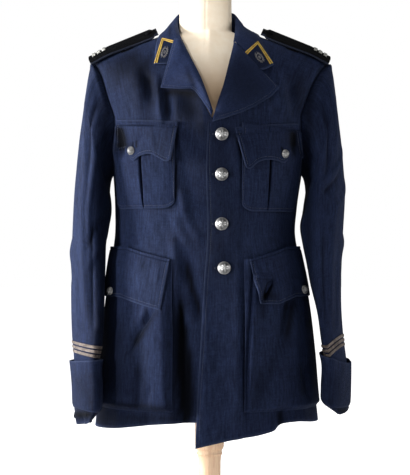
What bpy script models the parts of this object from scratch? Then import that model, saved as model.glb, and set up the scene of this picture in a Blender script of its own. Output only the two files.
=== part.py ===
"""Military dress tunic, worn by a limbless dress form on a turned counter stand.

Metres, +Z up, origin at the centre of the base's underside. The tunic faces -Y and the wearer's left is +X.

Every piece of cloth is worked out from one body surface. A point of that surface has an angle round the
body (0 at the front, 90 degrees at the wearer's left side, 180 at the back) and a level: a real height
up to the armpit, and from there a share of the way up to the ridge of the shoulders.
"""

import math

import bmesh
import bpy
import numpy as np
from mathutils import Matrix, Vector
from mathutils.bvhtree import BVHTree

# ---------------------------------------------------------------- driving sizes
CLOTH = 0.0018  # heavy wool gabardine with its canvas
SEAM = 0.0006  # space left between two pieces along a seam
ARMPIT = 0.720  # height of the armpit
RIDGE = 0.950  # level that stands for the shoulder ridge
SHOULDER = dict(x=0.221, z=0.9335, slope=0.364)  # tip of the shoulder seam, and the fall of the seam
SQUARE = 2.2  # superellipse power of the body's sections
DOME = 2.4  # superellipse power of the shoulder's rounding
ARMHOLE_ANGLE = 62.0  # degrees from the front, and from the back, where the armhole's edge runs up
ARMHOLE_LEVEL = 0.8235  # level above which the armhole's edge keeps that angle
OVERLAP = 0.0036  # how far the top front is lifted over the one beneath it
BUTTON_X = 0.0215  # the line of the front buttons
UNDERLAP = -0.045  # how far the lower front runs on under the top one, past the middle
CHEST_RISE = 0.262  # height of the shoulder ridge over the armpit, above the chest pockets
RIDGE_END = RIDGE - 1e-7  # the last level, just short of the ridge itself

BODY = [  # level, half widths to the wearer's right and left, depths to the front and back
    dict(level=0.200, right=0.219, left=0.209, front=0.146, back=0.138),
    dict(level=0.255, right=0.215, left=0.205, front=0.146, back=0.136),
    dict(level=0.300, right=0.209, left=0.200, front=0.146, back=0.133),
    dict(level=0.390, right=0.201, left=0.193, front=0.144, back=0.127),
    dict(level=0.480, right=0.192, left=0.183, front=0.139, back=0.119),
    dict(level=0.560, right=0.184, left=0.169, front=0.130, back=0.109),
    dict(level=0.610, right=0.178, left=0.161, front=0.123, back=0.101),
    dict(level=0.650, right=0.178, left=0.164, front=0.122, back=0.101),
    dict(level=0.720, right=0.182, left=0.174, front=0.126, back=0.109),
    dict(level=0.8235, right=0.200, left=0.192, front=0.131, back=0.118),
    dict(level=0.863, right=0.214, left=0.206, front=0.129, back=0.118),
    dict(level=0.913, right=0.230, left=0.229, front=0.122, back=0.112),
    dict(level=0.950, right=0.2455, left=0.2515, front=0.112, back=0.102),
]

FOLDS = [  # soft ridges and troughs of the front: two ends, half width, and how far they rise
    dict(name="under_right_lapel", x1=-0.105, z1=0.905, x2=-0.085, z2=0.815, width=0.012, rise=0.0045),
    dict(name="beside_right_lapel", x1=-0.070, z1=0.860, x2=-0.066, z2=0.800, width=0.010, rise=-0.0040),
    dict(name="waist_pull_right", x1=-0.048, z1=0.655, x2=-0.014, z2=0.530, width=0.010, rise=0.0050),
    dict(name="waist_hollow_right", x1=-0.062, z1=0.600, x2=-0.034, z2=0.500, width=0.012, rise=-0.0045),
    dict(name="skirt_ridge_right", x1=-0.056, z1=0.520, x2=-0.060, z2=0.330, width=0.011, rise=0.0050),
    dict(name="skirt_trough_right", x1=-0.042, z1=0.520, x2=-0.040, z2=0.255, width=0.014, rise=-0.0110),
    dict(name="waist_pull_left", x1=0.050, z1=0.600, x2=0.030, z2=0.545, width=0.014, rise=-0.0030),
    dict(name="skirt_roll_left", x1=0.040, z1=0.520, x2=0.048, z2=0.240, width=0.016, rise=0.0040),
    dict(name="hem_hollow_left", x1=0.132, z1=0.285, x2=0.136, z2=0.240, width=0.018, rise=-0.0060),
    dict(name="side_ridge_left", x1=0.165, z1=0.440, x2=0.170, z2=0.250, width=0.014, rise=0.0040),
    dict(name="chest_slack_left", x1=0.120, z1=0.900, x2=0.135, z2=0.830, width=0.014, rise=0.0035),
]

NECK_EDGE = {  # tops of the columns inside the neck point, by distance from the middle to their own side
    "front_right": [
        (-0.0450, 0.790), (-0.0014, 0.820), (0.0150, 0.872), (0.0365, 0.921),
        (0.0520, 0.953), (0.0600, 0.973), (0.0650, 0.984), (0.0710, 1.000),
    ],
    "front_left": [
        (-0.0010, 0.806), (0.0190, 0.8435), (0.0305, 0.880), (0.0405, 0.921),
        (0.0480, 0.950), (0.0530, 0.972), (0.0590, 0.985), (0.0680, 1.000),
    ],
    "back": [(0.0, 0.980), (0.025, 0.981), (0.048, 0.985), (0.066, 1.0)],
}

BACK_FOLDS = [  # the same, on the back
    dict(name="blade_right", x1=-0.120, z1=0.880, x2=-0.105, z2=0.740, width=0.016, rise=0.0045),
    dict(name="blade_left", x1=0.115, z1=0.870, x2=0.105, z2=0.730, width=0.016, rise=0.0045),
    dict(name="waist_right", x1=-0.060, z1=0.690, x2=-0.085, z2=0.600, width=0.012, rise=0.0045),
    dict(name="waist_left", x1=0.070, z1=0.680, x2=0.080, z2=0.590, width=0.012, rise=0.0040),
    dict(name="skirt_right", x1=-0.085, z1=0.520, x2=-0.100, z2=0.260, width=0.017, rise=0.0070),
    dict(name="skirt_left", x1=0.078, z1=0.500, x2=0.096, z2=0.260, width=0.017, rise=0.0065),
    dict(name="hollow_right", x1=-0.045, z1=0.560, x2=-0.050, z2=0.300, width=0.014, rise=-0.0050),
    dict(name="hollow_left", x1=0.045, z1=0.560, x2=0.052, z2=0.310, width=0.014, rise=-0.0045),
]

FRONT_EDGE = [  # height and x of the top front's edge, from the break of the lapel to the hem
    dict(z=0.220, x=-0.026),
    dict(z=0.330, x=-0.021),
    dict(z=0.430, x=-0.015),
    dict(z=0.520, x=-0.010),
    dict(z=0.600, x=-0.0045),
    dict(z=0.740, x=-0.006),
    dict(z=0.812, x=-0.001),
]

HEM_RIGHT = [dict(x=0.0, z=0.268), dict(x=0.100, z=0.262), dict(x=0.180, z=0.250), dict(x=0.215, z=0.246)]
HEM_LEFT = [
    dict(x=-0.026, z=0.221),
    dict(x=0.035, z=0.2355),
    dict(x=0.110, z=0.249),
    dict(x=0.140, z=0.262),
    dict(x=0.205, z=0.2565),
]

ROLL_RIGHT = [  # fold line of the wearer's right lapel and collar, from the break to the centre back
    dict(x=0.0054, y=-0.1310, z=0.8283),
    dict(x=-0.0045, y=-0.1264, z=0.8576),
    dict(x=-0.0172, y=-0.1170, z=0.8912),
    dict(x=-0.0338, y=-0.1004, z=0.9260),
    dict(x=-0.0489, y=-0.0751, z=0.9589),
    dict(x=-0.0575, y=-0.0480, z=0.9800),
    dict(x=-0.0615, y=-0.0100, z=1.0010),
    dict(x=-0.0618, y=0.0200, z=1.0180),
    dict(x=-0.0570, y=0.0450, z=1.0310),
    dict(x=-0.0350, y=0.0640, z=1.0370),
    dict(x=-0.0060, y=0.0700, z=1.0390),
]
ROLL_LEFT = [
    dict(x=0.0070, y=-0.1340, z=0.8180),
    dict(x=0.0172, y=-0.1290, z=0.8521),
    dict(x=0.0263, y=-0.1210, z=0.8801),
    dict(x=0.0365, y=-0.1030, z=0.9222),
    dict(x=0.0442, y=-0.0801, z=0.9545),
    dict(x=0.0485, y=-0.0530, z=0.9790),
    dict(x=0.0508, y=-0.0150, z=1.0010),
    dict(x=0.0505, y=0.0180, z=1.0190),
    dict(x=0.0450, y=0.0440, z=1.0320),
    dict(x=0.0240, y=0.0640, z=1.0370),
    dict(x=-0.0060, y=0.0700, z=1.0390),
]

LAPEL_RIGHT = [  # share of the roll line, and the lapel's free edge level with it
    dict(share=0.00, x=0.0027, z=0.8190),
    dict(share=0.10, x=-0.0027, z=0.8310),
    dict(share=0.22, x=-0.0136, z=0.8484),
    dict(share=0.34, x=-0.0262, z=0.8651),
    dict(share=0.42, x=-0.0335, z=0.8695),
    dict(share=0.58, x=-0.0535, z=0.8683),
    dict(share=0.75, x=-0.0878, z=0.8712),
    dict(share=0.88, x=-0.0724, z=0.9253),
    dict(share=1.00, x=-0.0622, z=0.9590),
]
LAPEL_LEFT = [
    dict(share=0.00, x=0.0050, z=0.8090),
    dict(share=0.15, x=0.0244, z=0.8138),
    dict(share=0.30, x=0.0551, z=0.8250),
    dict(share=0.45, x=0.0825, z=0.8385),
    dict(share=0.60, x=0.1102, z=0.8560),
    dict(share=2 / 3, x=0.1233, z=0.8713),
    dict(share=0.83, x=0.1080, z=0.8885),
    dict(share=1.00, x=0.0933, z=0.9040),
]
LAPEL_END = 0.42  # share of the whole roll line where the lapel meets the collar

COLLAR_RIGHT = [  # stations of the fall, front to back: share of the roll line, middle and free edge
    dict(share=0.42, mid=(-0.0745, -0.0960, 0.9190), edge=(-0.1018, -0.0905, 0.9190)),
    dict(share=0.50, mid=(-0.0785, -0.0680, 0.9590), edge=(-0.0990, -0.0640, 0.9450)),
    dict(share=0.60, mid=(-0.0780, -0.0300, 0.9900), edge=(-0.0925, -0.0270, 0.9740)),
    dict(share=0.72, mid=(-0.0765, 0.0240, 1.0060), edge=(-0.0880, 0.0280, 0.9870)),
    dict(share=0.86, mid=(-0.0590, 0.0700, 1.0120), edge=(-0.0640, 0.0800, 0.9800)),
    dict(share=1.00, mid=(-0.0060, 0.0850, 1.0140), edge=(-0.0060, 0.0910, 0.9760)),
]
COLLAR_LEFT = [
    dict(share=0.43, mid=(0.0950, -0.0985, 0.9075), edge=(0.1180, -0.0920, 0.9175)),
    dict(share=0.50, mid=(0.0850, -0.0700, 0.9570), edge=(0.1045, -0.0650, 0.9470)),
    dict(share=0.60, mid=(0.0700, -0.0300, 0.9890), edge=(0.0890, -0.0250, 0.9735)),
    dict(share=0.72, mid=(0.0630, 0.0240, 1.0060), edge=(0.0785, 0.0280, 0.9880)),
    dict(share=0.86, mid=(0.0470, 0.0700, 1.0120), edge=(0.0520, 0.0800, 0.9800)),
    dict(share=1.00, mid=(-0.0060, 0.0850, 1.0140), edge=(-0.0060, 0.0910, 0.9760)),
]
STAND_HEIGHT = 0.050  # collar stand, inside the fall
STAND_CLEAR = 0.0018  # its lower edge stands this far above the shoulders, and twice that at the back

SLEEVE_RIGHT = [  # rings of the sleeve: outer and inner edge seen from the front, then the ring's middle,
    # half depth, and how far its front edge is turned towards the body
    dict(outer_x=0.2290, outer_z=0.920, inner_x=0.1880, inner_z=0.7130, y=0.000, deep=0.064, turn=0),
    dict(outer_x=0.2320, outer_z=0.902, inner_x=0.1910, inner_z=0.7000, y=0.000, deep=0.069, turn=0),
    dict(outer_x=0.2350, outer_z=0.865, inner_x=0.1905, inner_z=0.6840, y=0.000, deep=0.073, turn=0),
    dict(outer_x=0.2395, outer_z=0.823, inner_x=0.1870, inner_z=0.6660, y=-0.002, deep=0.076, turn=2),
    dict(outer_x=0.2450, outer_z=0.780, inner_x=0.1850, inner_z=0.6450, y=-0.005, deep=0.077, turn=3),
    dict(outer_x=0.2510, outer_z=0.735, inner_x=0.1850, inner_z=0.6200, y=-0.010, deep=0.077, turn=5),
    dict(outer_x=0.2560, outer_z=0.680, inner_x=0.1885, inner_z=0.5900, y=-0.017, deep=0.076, turn=7),
    dict(outer_x=0.2590, outer_z=0.610, inner_x=0.1940, inner_z=0.5500, y=-0.029, deep=0.074, turn=10),
    dict(outer_x=0.2605, outer_z=0.550, inner_x=0.1970, inner_z=0.5100, y=-0.041, deep=0.072, turn=13),
    dict(outer_x=0.2600, outer_z=0.480, inner_x=0.1985, inner_z=0.4600, y=-0.054, deep=0.069, turn=15),
    dict(outer_x=0.2575, outer_z=0.420, inner_x=0.2000, inner_z=0.4080, y=-0.065, deep=0.064, turn=17),
    dict(outer_x=0.2535, outer_z=0.375, inner_x=0.2060, inner_z=0.3680, y=-0.073, deep=0.058, turn=18),
    dict(outer_x=0.2520, outer_z=0.330, inner_x=0.2015, inner_z=0.3260, y=-0.079, deep=0.056, turn=18),
    dict(outer_x=0.2515, outer_z=0.285, inner_x=0.1985, inner_z=0.2840, y=-0.084, deep=0.055, turn=18),
    dict(outer_x=0.2480, outer_z=0.252, inner_x=0.2060, inner_z=0.2660, y=-0.086, deep=0.050, turn=18),
]
SLEEVE_LEFT = [
    dict(outer_x=0.2350, outer_z=0.918, inner_x=0.1810, inner_z=0.7130, y=0.000, deep=0.064, turn=0),
    dict(outer_x=0.2375, outer_z=0.900, inner_x=0.1840, inner_z=0.7000, y=0.000, deep=0.069, turn=0),
    dict(outer_x=0.2390, outer_z=0.865, inner_x=0.1835, inner_z=0.6840, y=0.000, deep=0.073, turn=0),
    dict(outer_x=0.2440, outer_z=0.823, inner_x=0.1800, inner_z=0.6660, y=-0.002, deep=0.076, turn=2),
    dict(outer_x=0.2490, outer_z=0.780, inner_x=0.1765, inner_z=0.6450, y=-0.005, deep=0.077, turn=3),
    dict(outer_x=0.2530, outer_z=0.735, inner_x=0.1715, inner_z=0.6200, y=-0.010, deep=0.077, turn=5),
    dict(outer_x=0.2560, outer_z=0.680, inner_x=0.1750, inner_z=0.5900, y=-0.016, deep=0.076, turn=7),
    dict(outer_x=0.2520, outer_z=0.610, inner_x=0.1820, inner_z=0.5500, y=-0.026, deep=0.074, turn=9),
    dict(outer_x=0.2490, outer_z=0.550, inner_x=0.1880, inner_z=0.5100, y=-0.037, deep=0.072, turn=11),
    dict(outer_x=0.2480, outer_z=0.480, inner_x=0.1985, inner_z=0.4600, y=-0.049, deep=0.068, turn=13),
    dict(outer_x=0.2510, outer_z=0.420, inner_x=0.2050, inner_z=0.4080, y=-0.058, deep=0.062, turn=15),
    dict(outer_x=0.2560, outer_z=0.375, inner_x=0.2120, inner_z=0.3680, y=-0.066, deep=0.057, turn=17),
    dict(outer_x=0.2590, outer_z=0.330, inner_x=0.2080, inner_z=0.3260, y=-0.072, deep=0.055, turn=18),
    dict(outer_x=0.2590, outer_z=0.285, inner_x=0.2040, inner_z=0.2840, y=-0.078, deep=0.055, turn=18),
    dict(outer_x=0.2585, outer_z=0.264, inner_x=0.2215, inner_z=0.2690, y=-0.082, deep=0.050, turn=18),
]
CUFF_COLUMNS = 22  # columns round a cuff, which the stripes above it share
CUFF_RIGHT = dict(top=0.3655, bottom=0.2865, tilt_top=-0.014, tilt_bottom=0.0, near=0.0031, flare=0.0055)
CUFF_LEFT = dict(top=0.3790, bottom=0.2895, tilt_top=0.021, tilt_bottom=0.022, near=0.0031, flare=0.0055)

CHEST_POCKET = dict(inner_x=0.0595, outer_angle=70.0, top=0.804, bottom=0.656, corner=0.016)
CHEST_FLAP = dict(inner_x=0.0550, outer_angle=71.0, top=0.8065, depth=0.060, point=0.012, lift=0.009)
SKIRT_POCKET = dict(inner_x=0.0665, outer_angle=79.0, top=0.560, bottom=0.286, swell=0.007)
SKIRT_FLAP = dict(inner_x=0.0700, outer_angle=79.5, top=0.560, rise=0.022, depth=0.092, lift=0.006)

FRONT_BUTTON = dict(radius=0.0118, dome=0.0046, heights=(0.7865, 0.7145, 0.6245, 0.5445))
SMALL_BUTTON = dict(radius=0.0078, dome=0.0036)
BUTTON_RIM = 0.0026  # height of a button's rim over the cloth
CHEST_BUTTON = dict(right=(-0.1420, 0.7587), left=(0.1363, 0.7530))
SKIRT_BUTTON = dict(right=(-0.1850, 0.5010), left=(0.1760, 0.5037))
FLAP_WALL = 0.0014

BOARD = dict(length=0.128, width=0.050, point=0.022, thick=0.0045, stripe=0.0068, pitch=0.0105)
BOARD_RIGHT = dict(inner=(-0.1130, -0.0125, 0.9915), outer=(-0.2330, -0.0125, 0.9430))
BOARD_LEFT = dict(inner=(0.1130, -0.0125, 0.9915), outer=(0.2360, -0.0125, 0.9420))
BOARD_TILT = 26.0  # degrees that the board's front edge drops

BRAID = dict(width=0.0048, pitch=0.0080, thick=0.0010, start=0.3860)  # the sleeve's rank stripes

FORM_INSET = [  # level, and how far the form's skin lies inside the cloth
    dict(level=0.330, inset=0.052),
    dict(level=0.430, inset=0.034),
    dict(level=0.520, inset=0.020),
    dict(level=0.620, inset=0.010),
    dict(level=0.720, inset=0.008),
    dict(level=0.800, inset=0.007),
    dict(level=0.880, inset=0.0070),
    dict(level=0.950, inset=0.0085),
]
FORM_BOTTOM = 0.335
FORM_SIDE = 0.200  # the form's sides are cut off flat here, where arms would begin
NECK = dict(x=-0.0075, y=0.004, base=0.965, top=1.078, base_radius=0.0500, top_radius=0.0490)
POLE = dict(radius=0.0210, flare=0.0275, base=0.030)
BASE = dict(radius=0.165, height=0.030)

NAVY = (0.020, 0.028, 0.060, 1.0)
RIGHT, LEFT = -1, 1
SIDES = {"right": RIGHT, "left": LEFT}


# ---------------------------------------------------------------- tables
def curve(table, key, column, at):
    """A smooth line through one column of a table: a cubic with slopes taken across each row's neighbours."""
    knots = np.array([row[key] for row in table])
    values = np.array([row[column] for row in table], float)
    slopes = np.gradient(values, knots, axis=0)
    at = np.clip(np.asarray(at, float), knots[0], knots[-1])
    i = np.clip(np.searchsorted(knots, at, side="right") - 1, 0, len(knots) - 2)
    span = knots[i + 1] - knots[i]
    t = (at - knots[i]) / span
    if values.ndim > 1:
        t, span = t[..., None], span[..., None]
    return (
        (2 * t**3 - 3 * t**2 + 1) * values[i]
        + (t**3 - 2 * t**2 + t) * span * slopes[i]
        + (3 * t**2 - 2 * t**3) * values[i + 1]
        + (t**3 - t**2) * span * slopes[i + 1]
    )


def smooth(low, high, value):
    """0 below low, 1 above high, and an S-shaped rise between."""
    t = np.clip((value - low) / (high - low), 0, 1)
    return t * t * (3 - 2 * t)


def unit(vector):
    return vector / np.linalg.norm(vector)


def line_through(rows, share):
    """A point at each share, 0 to 1, of the rows' x, y, z, counted row by row."""
    table = [dict(s=i / (len(rows) - 1), p=(r["x"], r["y"], r["z"])) for i, r in enumerate(rows)]
    return curve(table, "s", "p", share)


# ---------------------------------------------------------------- the body surface
def shoulder_height(x):
    """Height of the shoulder ridge above x."""
    return SHOULDER["z"] + SHOULDER["slope"] * (SHOULDER["x"] - np.abs(x))


def body_width(side_sign, level):
    right, left = curve(BODY, "level", "right", level), curve(BODY, "level", "left", level)
    return np.where(side_sign < 0, right, left)


def body_point(angle, level):
    """The middle of the cloth at an angle (radians) and a level, without folds."""
    angle, level = np.broadcast_arrays(np.asarray(angle, float), np.asarray(level, float))
    power = 2 / SQUARE
    sine, cosine = np.sin(angle), np.cos(angle)
    rise = np.clip((level - ARMPIT) / (RIDGE - ARMPIT), 0, 1)
    rounding = (1 - rise**DOME) ** (1 / DOME)
    x = body_width(sine, level) * np.sign(sine) * np.abs(sine) ** power
    depth = np.where(cosine > 0, curve(BODY, "level", "front", level), curve(BODY, "level", "back", level))
    y = -depth * np.sign(cosine) * np.abs(cosine) ** power * rounding
    z = np.where(level <= ARMPIT, level, ARMPIT + rise * (shoulder_height(x) - ARMPIT))
    return np.stack([x, y, z], -1)


def fold_height(point, rows):
    """Sum of the folds at a point: each a bump across its own line that fades at both ends."""
    total = np.zeros(point.shape[:-1])
    for row in rows:
        start = np.array([row["x1"], row["z1"]])
        along = np.array([row["x2"], row["z2"]]) - start
        flat = point[..., [0, 2]] - start
        share = flat @ along / (along @ along)
        across = (flat[..., 0] * along[1] - flat[..., 1] * along[0]) / math.hypot(*along)
        fade = smooth(-0.30, 0.25, share) * smooth(1.30, 0.75, share)
        total += row["rise"] * fade * np.exp(-((across / row["width"]) ** 2))
    return total


def body_normal(angle, level):
    """Outward unit normal of the body surface, from two short steps."""
    step = 1e-3
    level = np.minimum(level, RIDGE - 2 * step)
    across = body_point(angle + step, level) - body_point(angle - step, level)
    up = body_point(angle, level + step) - body_point(angle, level - step)
    normal = np.cross(across, up)
    return normal / np.linalg.norm(normal, axis=-1, keepdims=True)


def cloth_point(angle, level, offset=0.0):
    """A point of a layer of cloth that lies offset outside the body surface, with the folds."""
    angle, level = np.broadcast_arrays(np.asarray(angle, float), np.asarray(level, float))
    point = body_point(angle, level)
    front = np.cos(angle) > 0
    folds = np.where(front, fold_height(point, FOLDS), fold_height(point, BACK_FOLDS))
    lift = folds * np.minimum(1, 1.6 * np.abs(np.cos(angle))) + offset
    return point + body_normal(angle, level) * lift[..., None]


def angle_at(x, level):
    """Angle, on the front, of the body point with this x."""
    share = np.clip(np.abs(x) / body_width(x, level), 0, 1)
    return np.sign(x) * np.arcsin(share ** (SQUARE / 2))


def level_at(x, z):
    """Level of the body point with this x and height."""
    rise = (z - ARMPIT) / (shoulder_height(x) - ARMPIT)
    return np.where(z <= ARMPIT, z, ARMPIT + rise * (RIDGE - ARMPIT))


def body_distance(point):
    """Distance outside the body surface, near the neck and shoulders, and the unit way out there."""

    def rule(p):
        x, y, z = p[..., 0], p[..., 1], p[..., 2]
        rise = np.maximum((z - ARMPIT) / (shoulder_height(x) - ARMPIT), 1e-6)
        level = ARMPIT + np.minimum(rise, 1) * (RIDGE - ARMPIT)
        depth = np.where(y < 0, curve(BODY, "level", "front", level), curve(BODY, "level", "back", level))
        depth = depth * (1 - np.minimum(np.abs(x) / body_width(x, level), 0.95) ** SQUARE) ** (1 / SQUARE)
        return (np.abs(y) / depth) ** DOME + rise**DOME - 1

    step = 2e-4
    slope = np.stack([(rule(point + step * e) - rule(point - step * e)) / (2 * step) for e in np.eye(3)], -1)
    size = np.linalg.norm(slope, axis=-1)
    return rule(point) / size, slope / size[..., None]


def surface_height(x, y):
    """Height of the shoulders' surface over x and y."""
    depth = BODY[-1]["front"] if y < 0 else BODY[-1]["back"]
    return ARMPIT + (shoulder_height(x) - ARMPIT) * (1 - min(abs(y) / depth, 0.98) ** DOME) ** (1 / DOME)


def lift_off(point, clearance):
    """Points moved straight out from the body, where they are nearer to it than the clearance."""
    for _ in range(5):
        distance, way = body_distance(point)
        point = point + way * np.maximum(0, clearance - distance)[..., None]
    return point


def front_lift(x, z):
    """How far the top front is raised over the one beneath it."""
    return OVERLAP * smooth(0.060, 0.050, x) * smooth(0.865, 0.820, z)


def on_front(x, z, offset=0.0):
    """The point of the front of the tunic at x and height z, moved out by offset."""
    level = level_at(x, z)
    return cloth_point(angle_at(x, level), level, offset)


# ---------------------------------------------------------------- making objects
def collection_for(name):
    made = bpy.data.collections.new(name)
    bpy.context.scene.collection.children.link(made)
    return made


def material(name, colour, roughness=0.9, metallic=0.0):
    made = bpy.data.materials.get(name) or bpy.data.materials.new(name)
    made.use_nodes = True
    shader = made.node_tree.nodes["Principled BSDF"]
    shader.inputs["Base Color"].default_value = colour
    shader.inputs["Roughness"].default_value = roughness
    shader.inputs["Metallic"].default_value = metallic
    return made


def grid_mesh(name, points, closed=False, keep=None):
    """A mesh of quads over points[i, j]; closed joins the last i to the first, and keep leaves quads out."""
    across, up = points.shape[:2]
    last = across if closed else across - 1
    quads = []
    for i in range(last):
        for j in range(up - 1):
            if keep is None or keep[i, j]:
                k = (i + 1) % across
                quads.append((i * up + j, k * up + j, k * up + j + 1, i * up + j + 1))
    used = sorted({v for quad in quads for v in quad})
    place = {v: n for n, v in enumerate(used)}
    mesh = bpy.data.meshes.new(name)
    vertices = points.reshape(-1, 3)[used]
    mesh.from_pydata(vertices.tolist(), [], [[place[v] for v in quad] for quad in quads])
    mesh.validate()
    mesh.shade_smooth()
    return mesh


def piece(name, mesh, finish):
    made = bpy.data.objects.new(name, mesh)
    made.data.materials.append(finish)
    TUNIC.objects.link(made)
    return made


def face_tree(base):
    """A search tree over the middle surface of a piece of cloth."""
    return BVHTree.FromPolygons([v.co for v in base.data.vertices], [f.vertices for f in base.data.polygons])


def cast(base, start, way):
    """Where a ray first meets a piece of cloth's middle surface, and the way out of it there."""
    spot, normal, _, _ = face_tree(base).ray_cast(Vector(start), Vector(way))
    return np.array(spot), np.array(normal if normal.dot(Vector(way)) < 0 else -normal)


def cloth_piece(name, points, finish, thick=CLOTH, closed=False, keep=None, shift=0.0):
    """An open surface given the cloth's thickness, half to each side, or moved by shift (-1 in, 1 out)."""
    made = piece(name, grid_mesh(name, points, closed, keep), finish)
    wall = made.modifiers.new("cloth thickness", "SOLIDIFY")
    wall.thickness = thick
    wall.offset = shift
    return made


def turned_piece(name, profile, finish, steps=24, spot=(0, 0, 0), facing=None):
    """A profile of (radius, height) pairs turned about +Z, then stood at spot and faced along a vector."""
    mesh = bpy.data.meshes.new(name)
    ends = [(radius, 0.0, height) for radius, height in profile]
    mesh.from_pydata(ends, [(i, i + 1) for i in range(len(ends) - 1)], [])
    made = piece(name, mesh, finish)
    screw = made.modifiers.new("turned", "SCREW")
    screw.steps = screw.render_steps = steps
    screw.use_merge_vertices = True
    screw.merge_threshold = 0.00001
    made.location = spot
    if facing is not None:
        made.rotation_euler = Vector(facing).to_track_quat("Z", "Y").to_euler()
    return made


# ---------------------------------------------------------------- fronts and backs
LEVELS_LOW = np.array([0.0, 0.16, 0.34, 0.52, 0.68, 0.84])  # shares from the hem to the waist
LEVELS_MID = np.array([0.635, 0.680, 0.720, 0.755, 0.790, ARMHOLE_LEVEL])
LEVELS_HIGH = np.array([0.855, 0.880, 0.902, 0.920, 0.935, 0.945, RIDGE_END])
WAIST = 0.595
SQUEEZE_FROM = 0.635  # above this level the rows of a shorter column are drawn together
BODY_COLUMNS, SIDE_COLUMNS = 5, 4  # columns from the neck point to the armhole, and under the armhole


def armhole_top(angle_from_front):
    """Level of the armhole's edge below its narrowest place, for angles from ARMHOLE_ANGLE to the side."""
    share = np.clip((angle_from_front - ARMHOLE_ANGLE) / (90 - ARMHOLE_ANGLE), 0, 1)
    return ARMPIT + (ARMHOLE_LEVEL - ARMPIT) * (1 - np.sin(share * math.pi / 2)) ** 0.9


def side_angle(x, level, sign):
    """Angle in degrees, from the middle to a panel's own side, of a point at distance x to that side."""
    return math.degrees(sign * angle_at(sign * x, level))


def panel_grid(sign, neck_edge, low_edge, hem, spread):
    """Angles (degrees from the middle to the panel's own side) and levels of a front or a back.

    neck_edge gives the tops of the columns inside the neck point, low_edge(level) the x of the panel's
    middle edge, hem(x) its lower edge, and spread how far the inner columns fan out below the chest.
    """
    tops = []
    for x, z in neck_edge:
        level = min(float(level_at(sign * x, z)), RIDGE_END)
        tops.append((side_angle(x, level, sign), level, side_angle(x * spread, WAIST, sign)))
    neck = tops[-1]
    for share in np.linspace(0, 1, BODY_COLUMNS + 1)[1:]:
        top_angle, low_angle = (neck[k] + (ARMHOLE_ANGLE - neck[k]) * share for k in (0, 2))
        tops.append((top_angle, neck[1], low_angle))
    for angle in np.linspace(ARMHOLE_ANGLE, 90, SIDE_COLUMNS + 1)[1:]:
        tops.append((angle, float(armhole_top(angle)), angle))
    count = len(LEVELS_LOW) + 1 + len(LEVELS_MID) + len(LEVELS_HIGH)
    angles, levels = np.zeros((len(tops), count)), np.zeros((len(tops), count))
    armhole_row = len(LEVELS_LOW) + len(LEVELS_MID)
    for i, (top_angle, top_level, low_angle) in enumerate(tops):
        width = body_width(np.array(sign), 0.25) * np.sin(math.radians(max(low_angle, 0.0))) ** (2 / SQUARE)
        low = float(hem(width if i else low_edge(0.22)))
        level = np.concatenate([low + LEVELS_LOW * (WAIST - low), [WAIST], LEVELS_MID, LEVELS_HIGH])
        if low_angle > ARMHOLE_ANGLE + 1e-6:
            squeeze = (top_level - SQUEEZE_FROM) / (ARMHOLE_LEVEL - SQUEEZE_FROM)
            level = np.where(level > SQUEEZE_FROM, SQUEEZE_FROM + (level - SQUEEZE_FROM) * squeeze, level)
        else:
            squeeze = (top_level - SQUEEZE_FROM) / (RIDGE - SQUEEZE_FROM)
            share = smooth(ARMHOLE_ANGLE, neck[2], low_angle)
            squeezed = np.where(level > SQUEEZE_FROM, SQUEEZE_FROM + (level - SQUEEZE_FROM) * squeeze, level)
            level = level + (squeezed - level) * share
        if i:
            angles[i] = low_angle + (top_angle - low_angle) * smooth(0.62, top_level, level)
        else:
            angles[i] = [side_angle(low_edge(v), v, sign) for v in level]
        levels[i] = level
    keep = np.ones((len(tops) - 1, count - 1), bool)
    keep[-SIDE_COLUMNS:, armhole_row:] = False
    return angles, levels, keep


def front_panel(side):
    """The wearer's right or left front, from its edge to the side seam."""
    sign = SIDES[side]
    hem_line = HEM_LEFT if sign == LEFT else HEM_RIGHT

    def edge(level):
        return float(curve(FRONT_EDGE, "z", "x", level)) if sign == LEFT else UNDERLAP

    angles, levels, keep = panel_grid(
        sign, NECK_EDGE[f"front_{side}"], edge, lambda x: curve(hem_line, "x", "z", x), spread=1.35
    )
    angles = np.radians(angles) * sign
    lift = 0.0
    if sign == LEFT:
        place = body_point(angles, levels)
        lift = front_lift(place[..., 0], place[..., 2])
    points = cloth_point(angles, levels, lift)
    points[-1, :, 1] -= SEAM / 2
    points[..., 1] -= np.where(levels > RIDGE - 1e-5, SEAM, 0)
    if sign == RIGHT:
        points, keep = points[::-1], keep[::-1]
    return cloth_piece(f"front_{side}", points, NAVY_WOOL, keep=keep)


def back_panel(side):
    """Half of the back, from the centre seam to the side seam."""
    sign = SIDES[side]
    low = 0.2565 if sign == LEFT else 0.2460
    angles, levels, keep = panel_grid(sign, NECK_EDGE["back"], lambda level: 0.0, lambda x: low, spread=1.2)
    points = cloth_point(math.pi - sign * np.radians(angles), levels)
    points[0, :, 0] = sign * SEAM / 2
    points[-1, :, 1] += SEAM / 2
    points[..., 1] += np.where(levels > RIDGE - 1e-5, SEAM, 0)
    if sign == LEFT:
        points, keep = points[::-1], keep[::-1]
    return cloth_piece(f"back_{side}", points, NAVY_WOOL, keep=keep)


# ---------------------------------------------------------------- sleeves and cuffs
ARMHOLE_GAP = 0.0014  # the sleeve's rim stands this far outside the panel's rim


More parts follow.
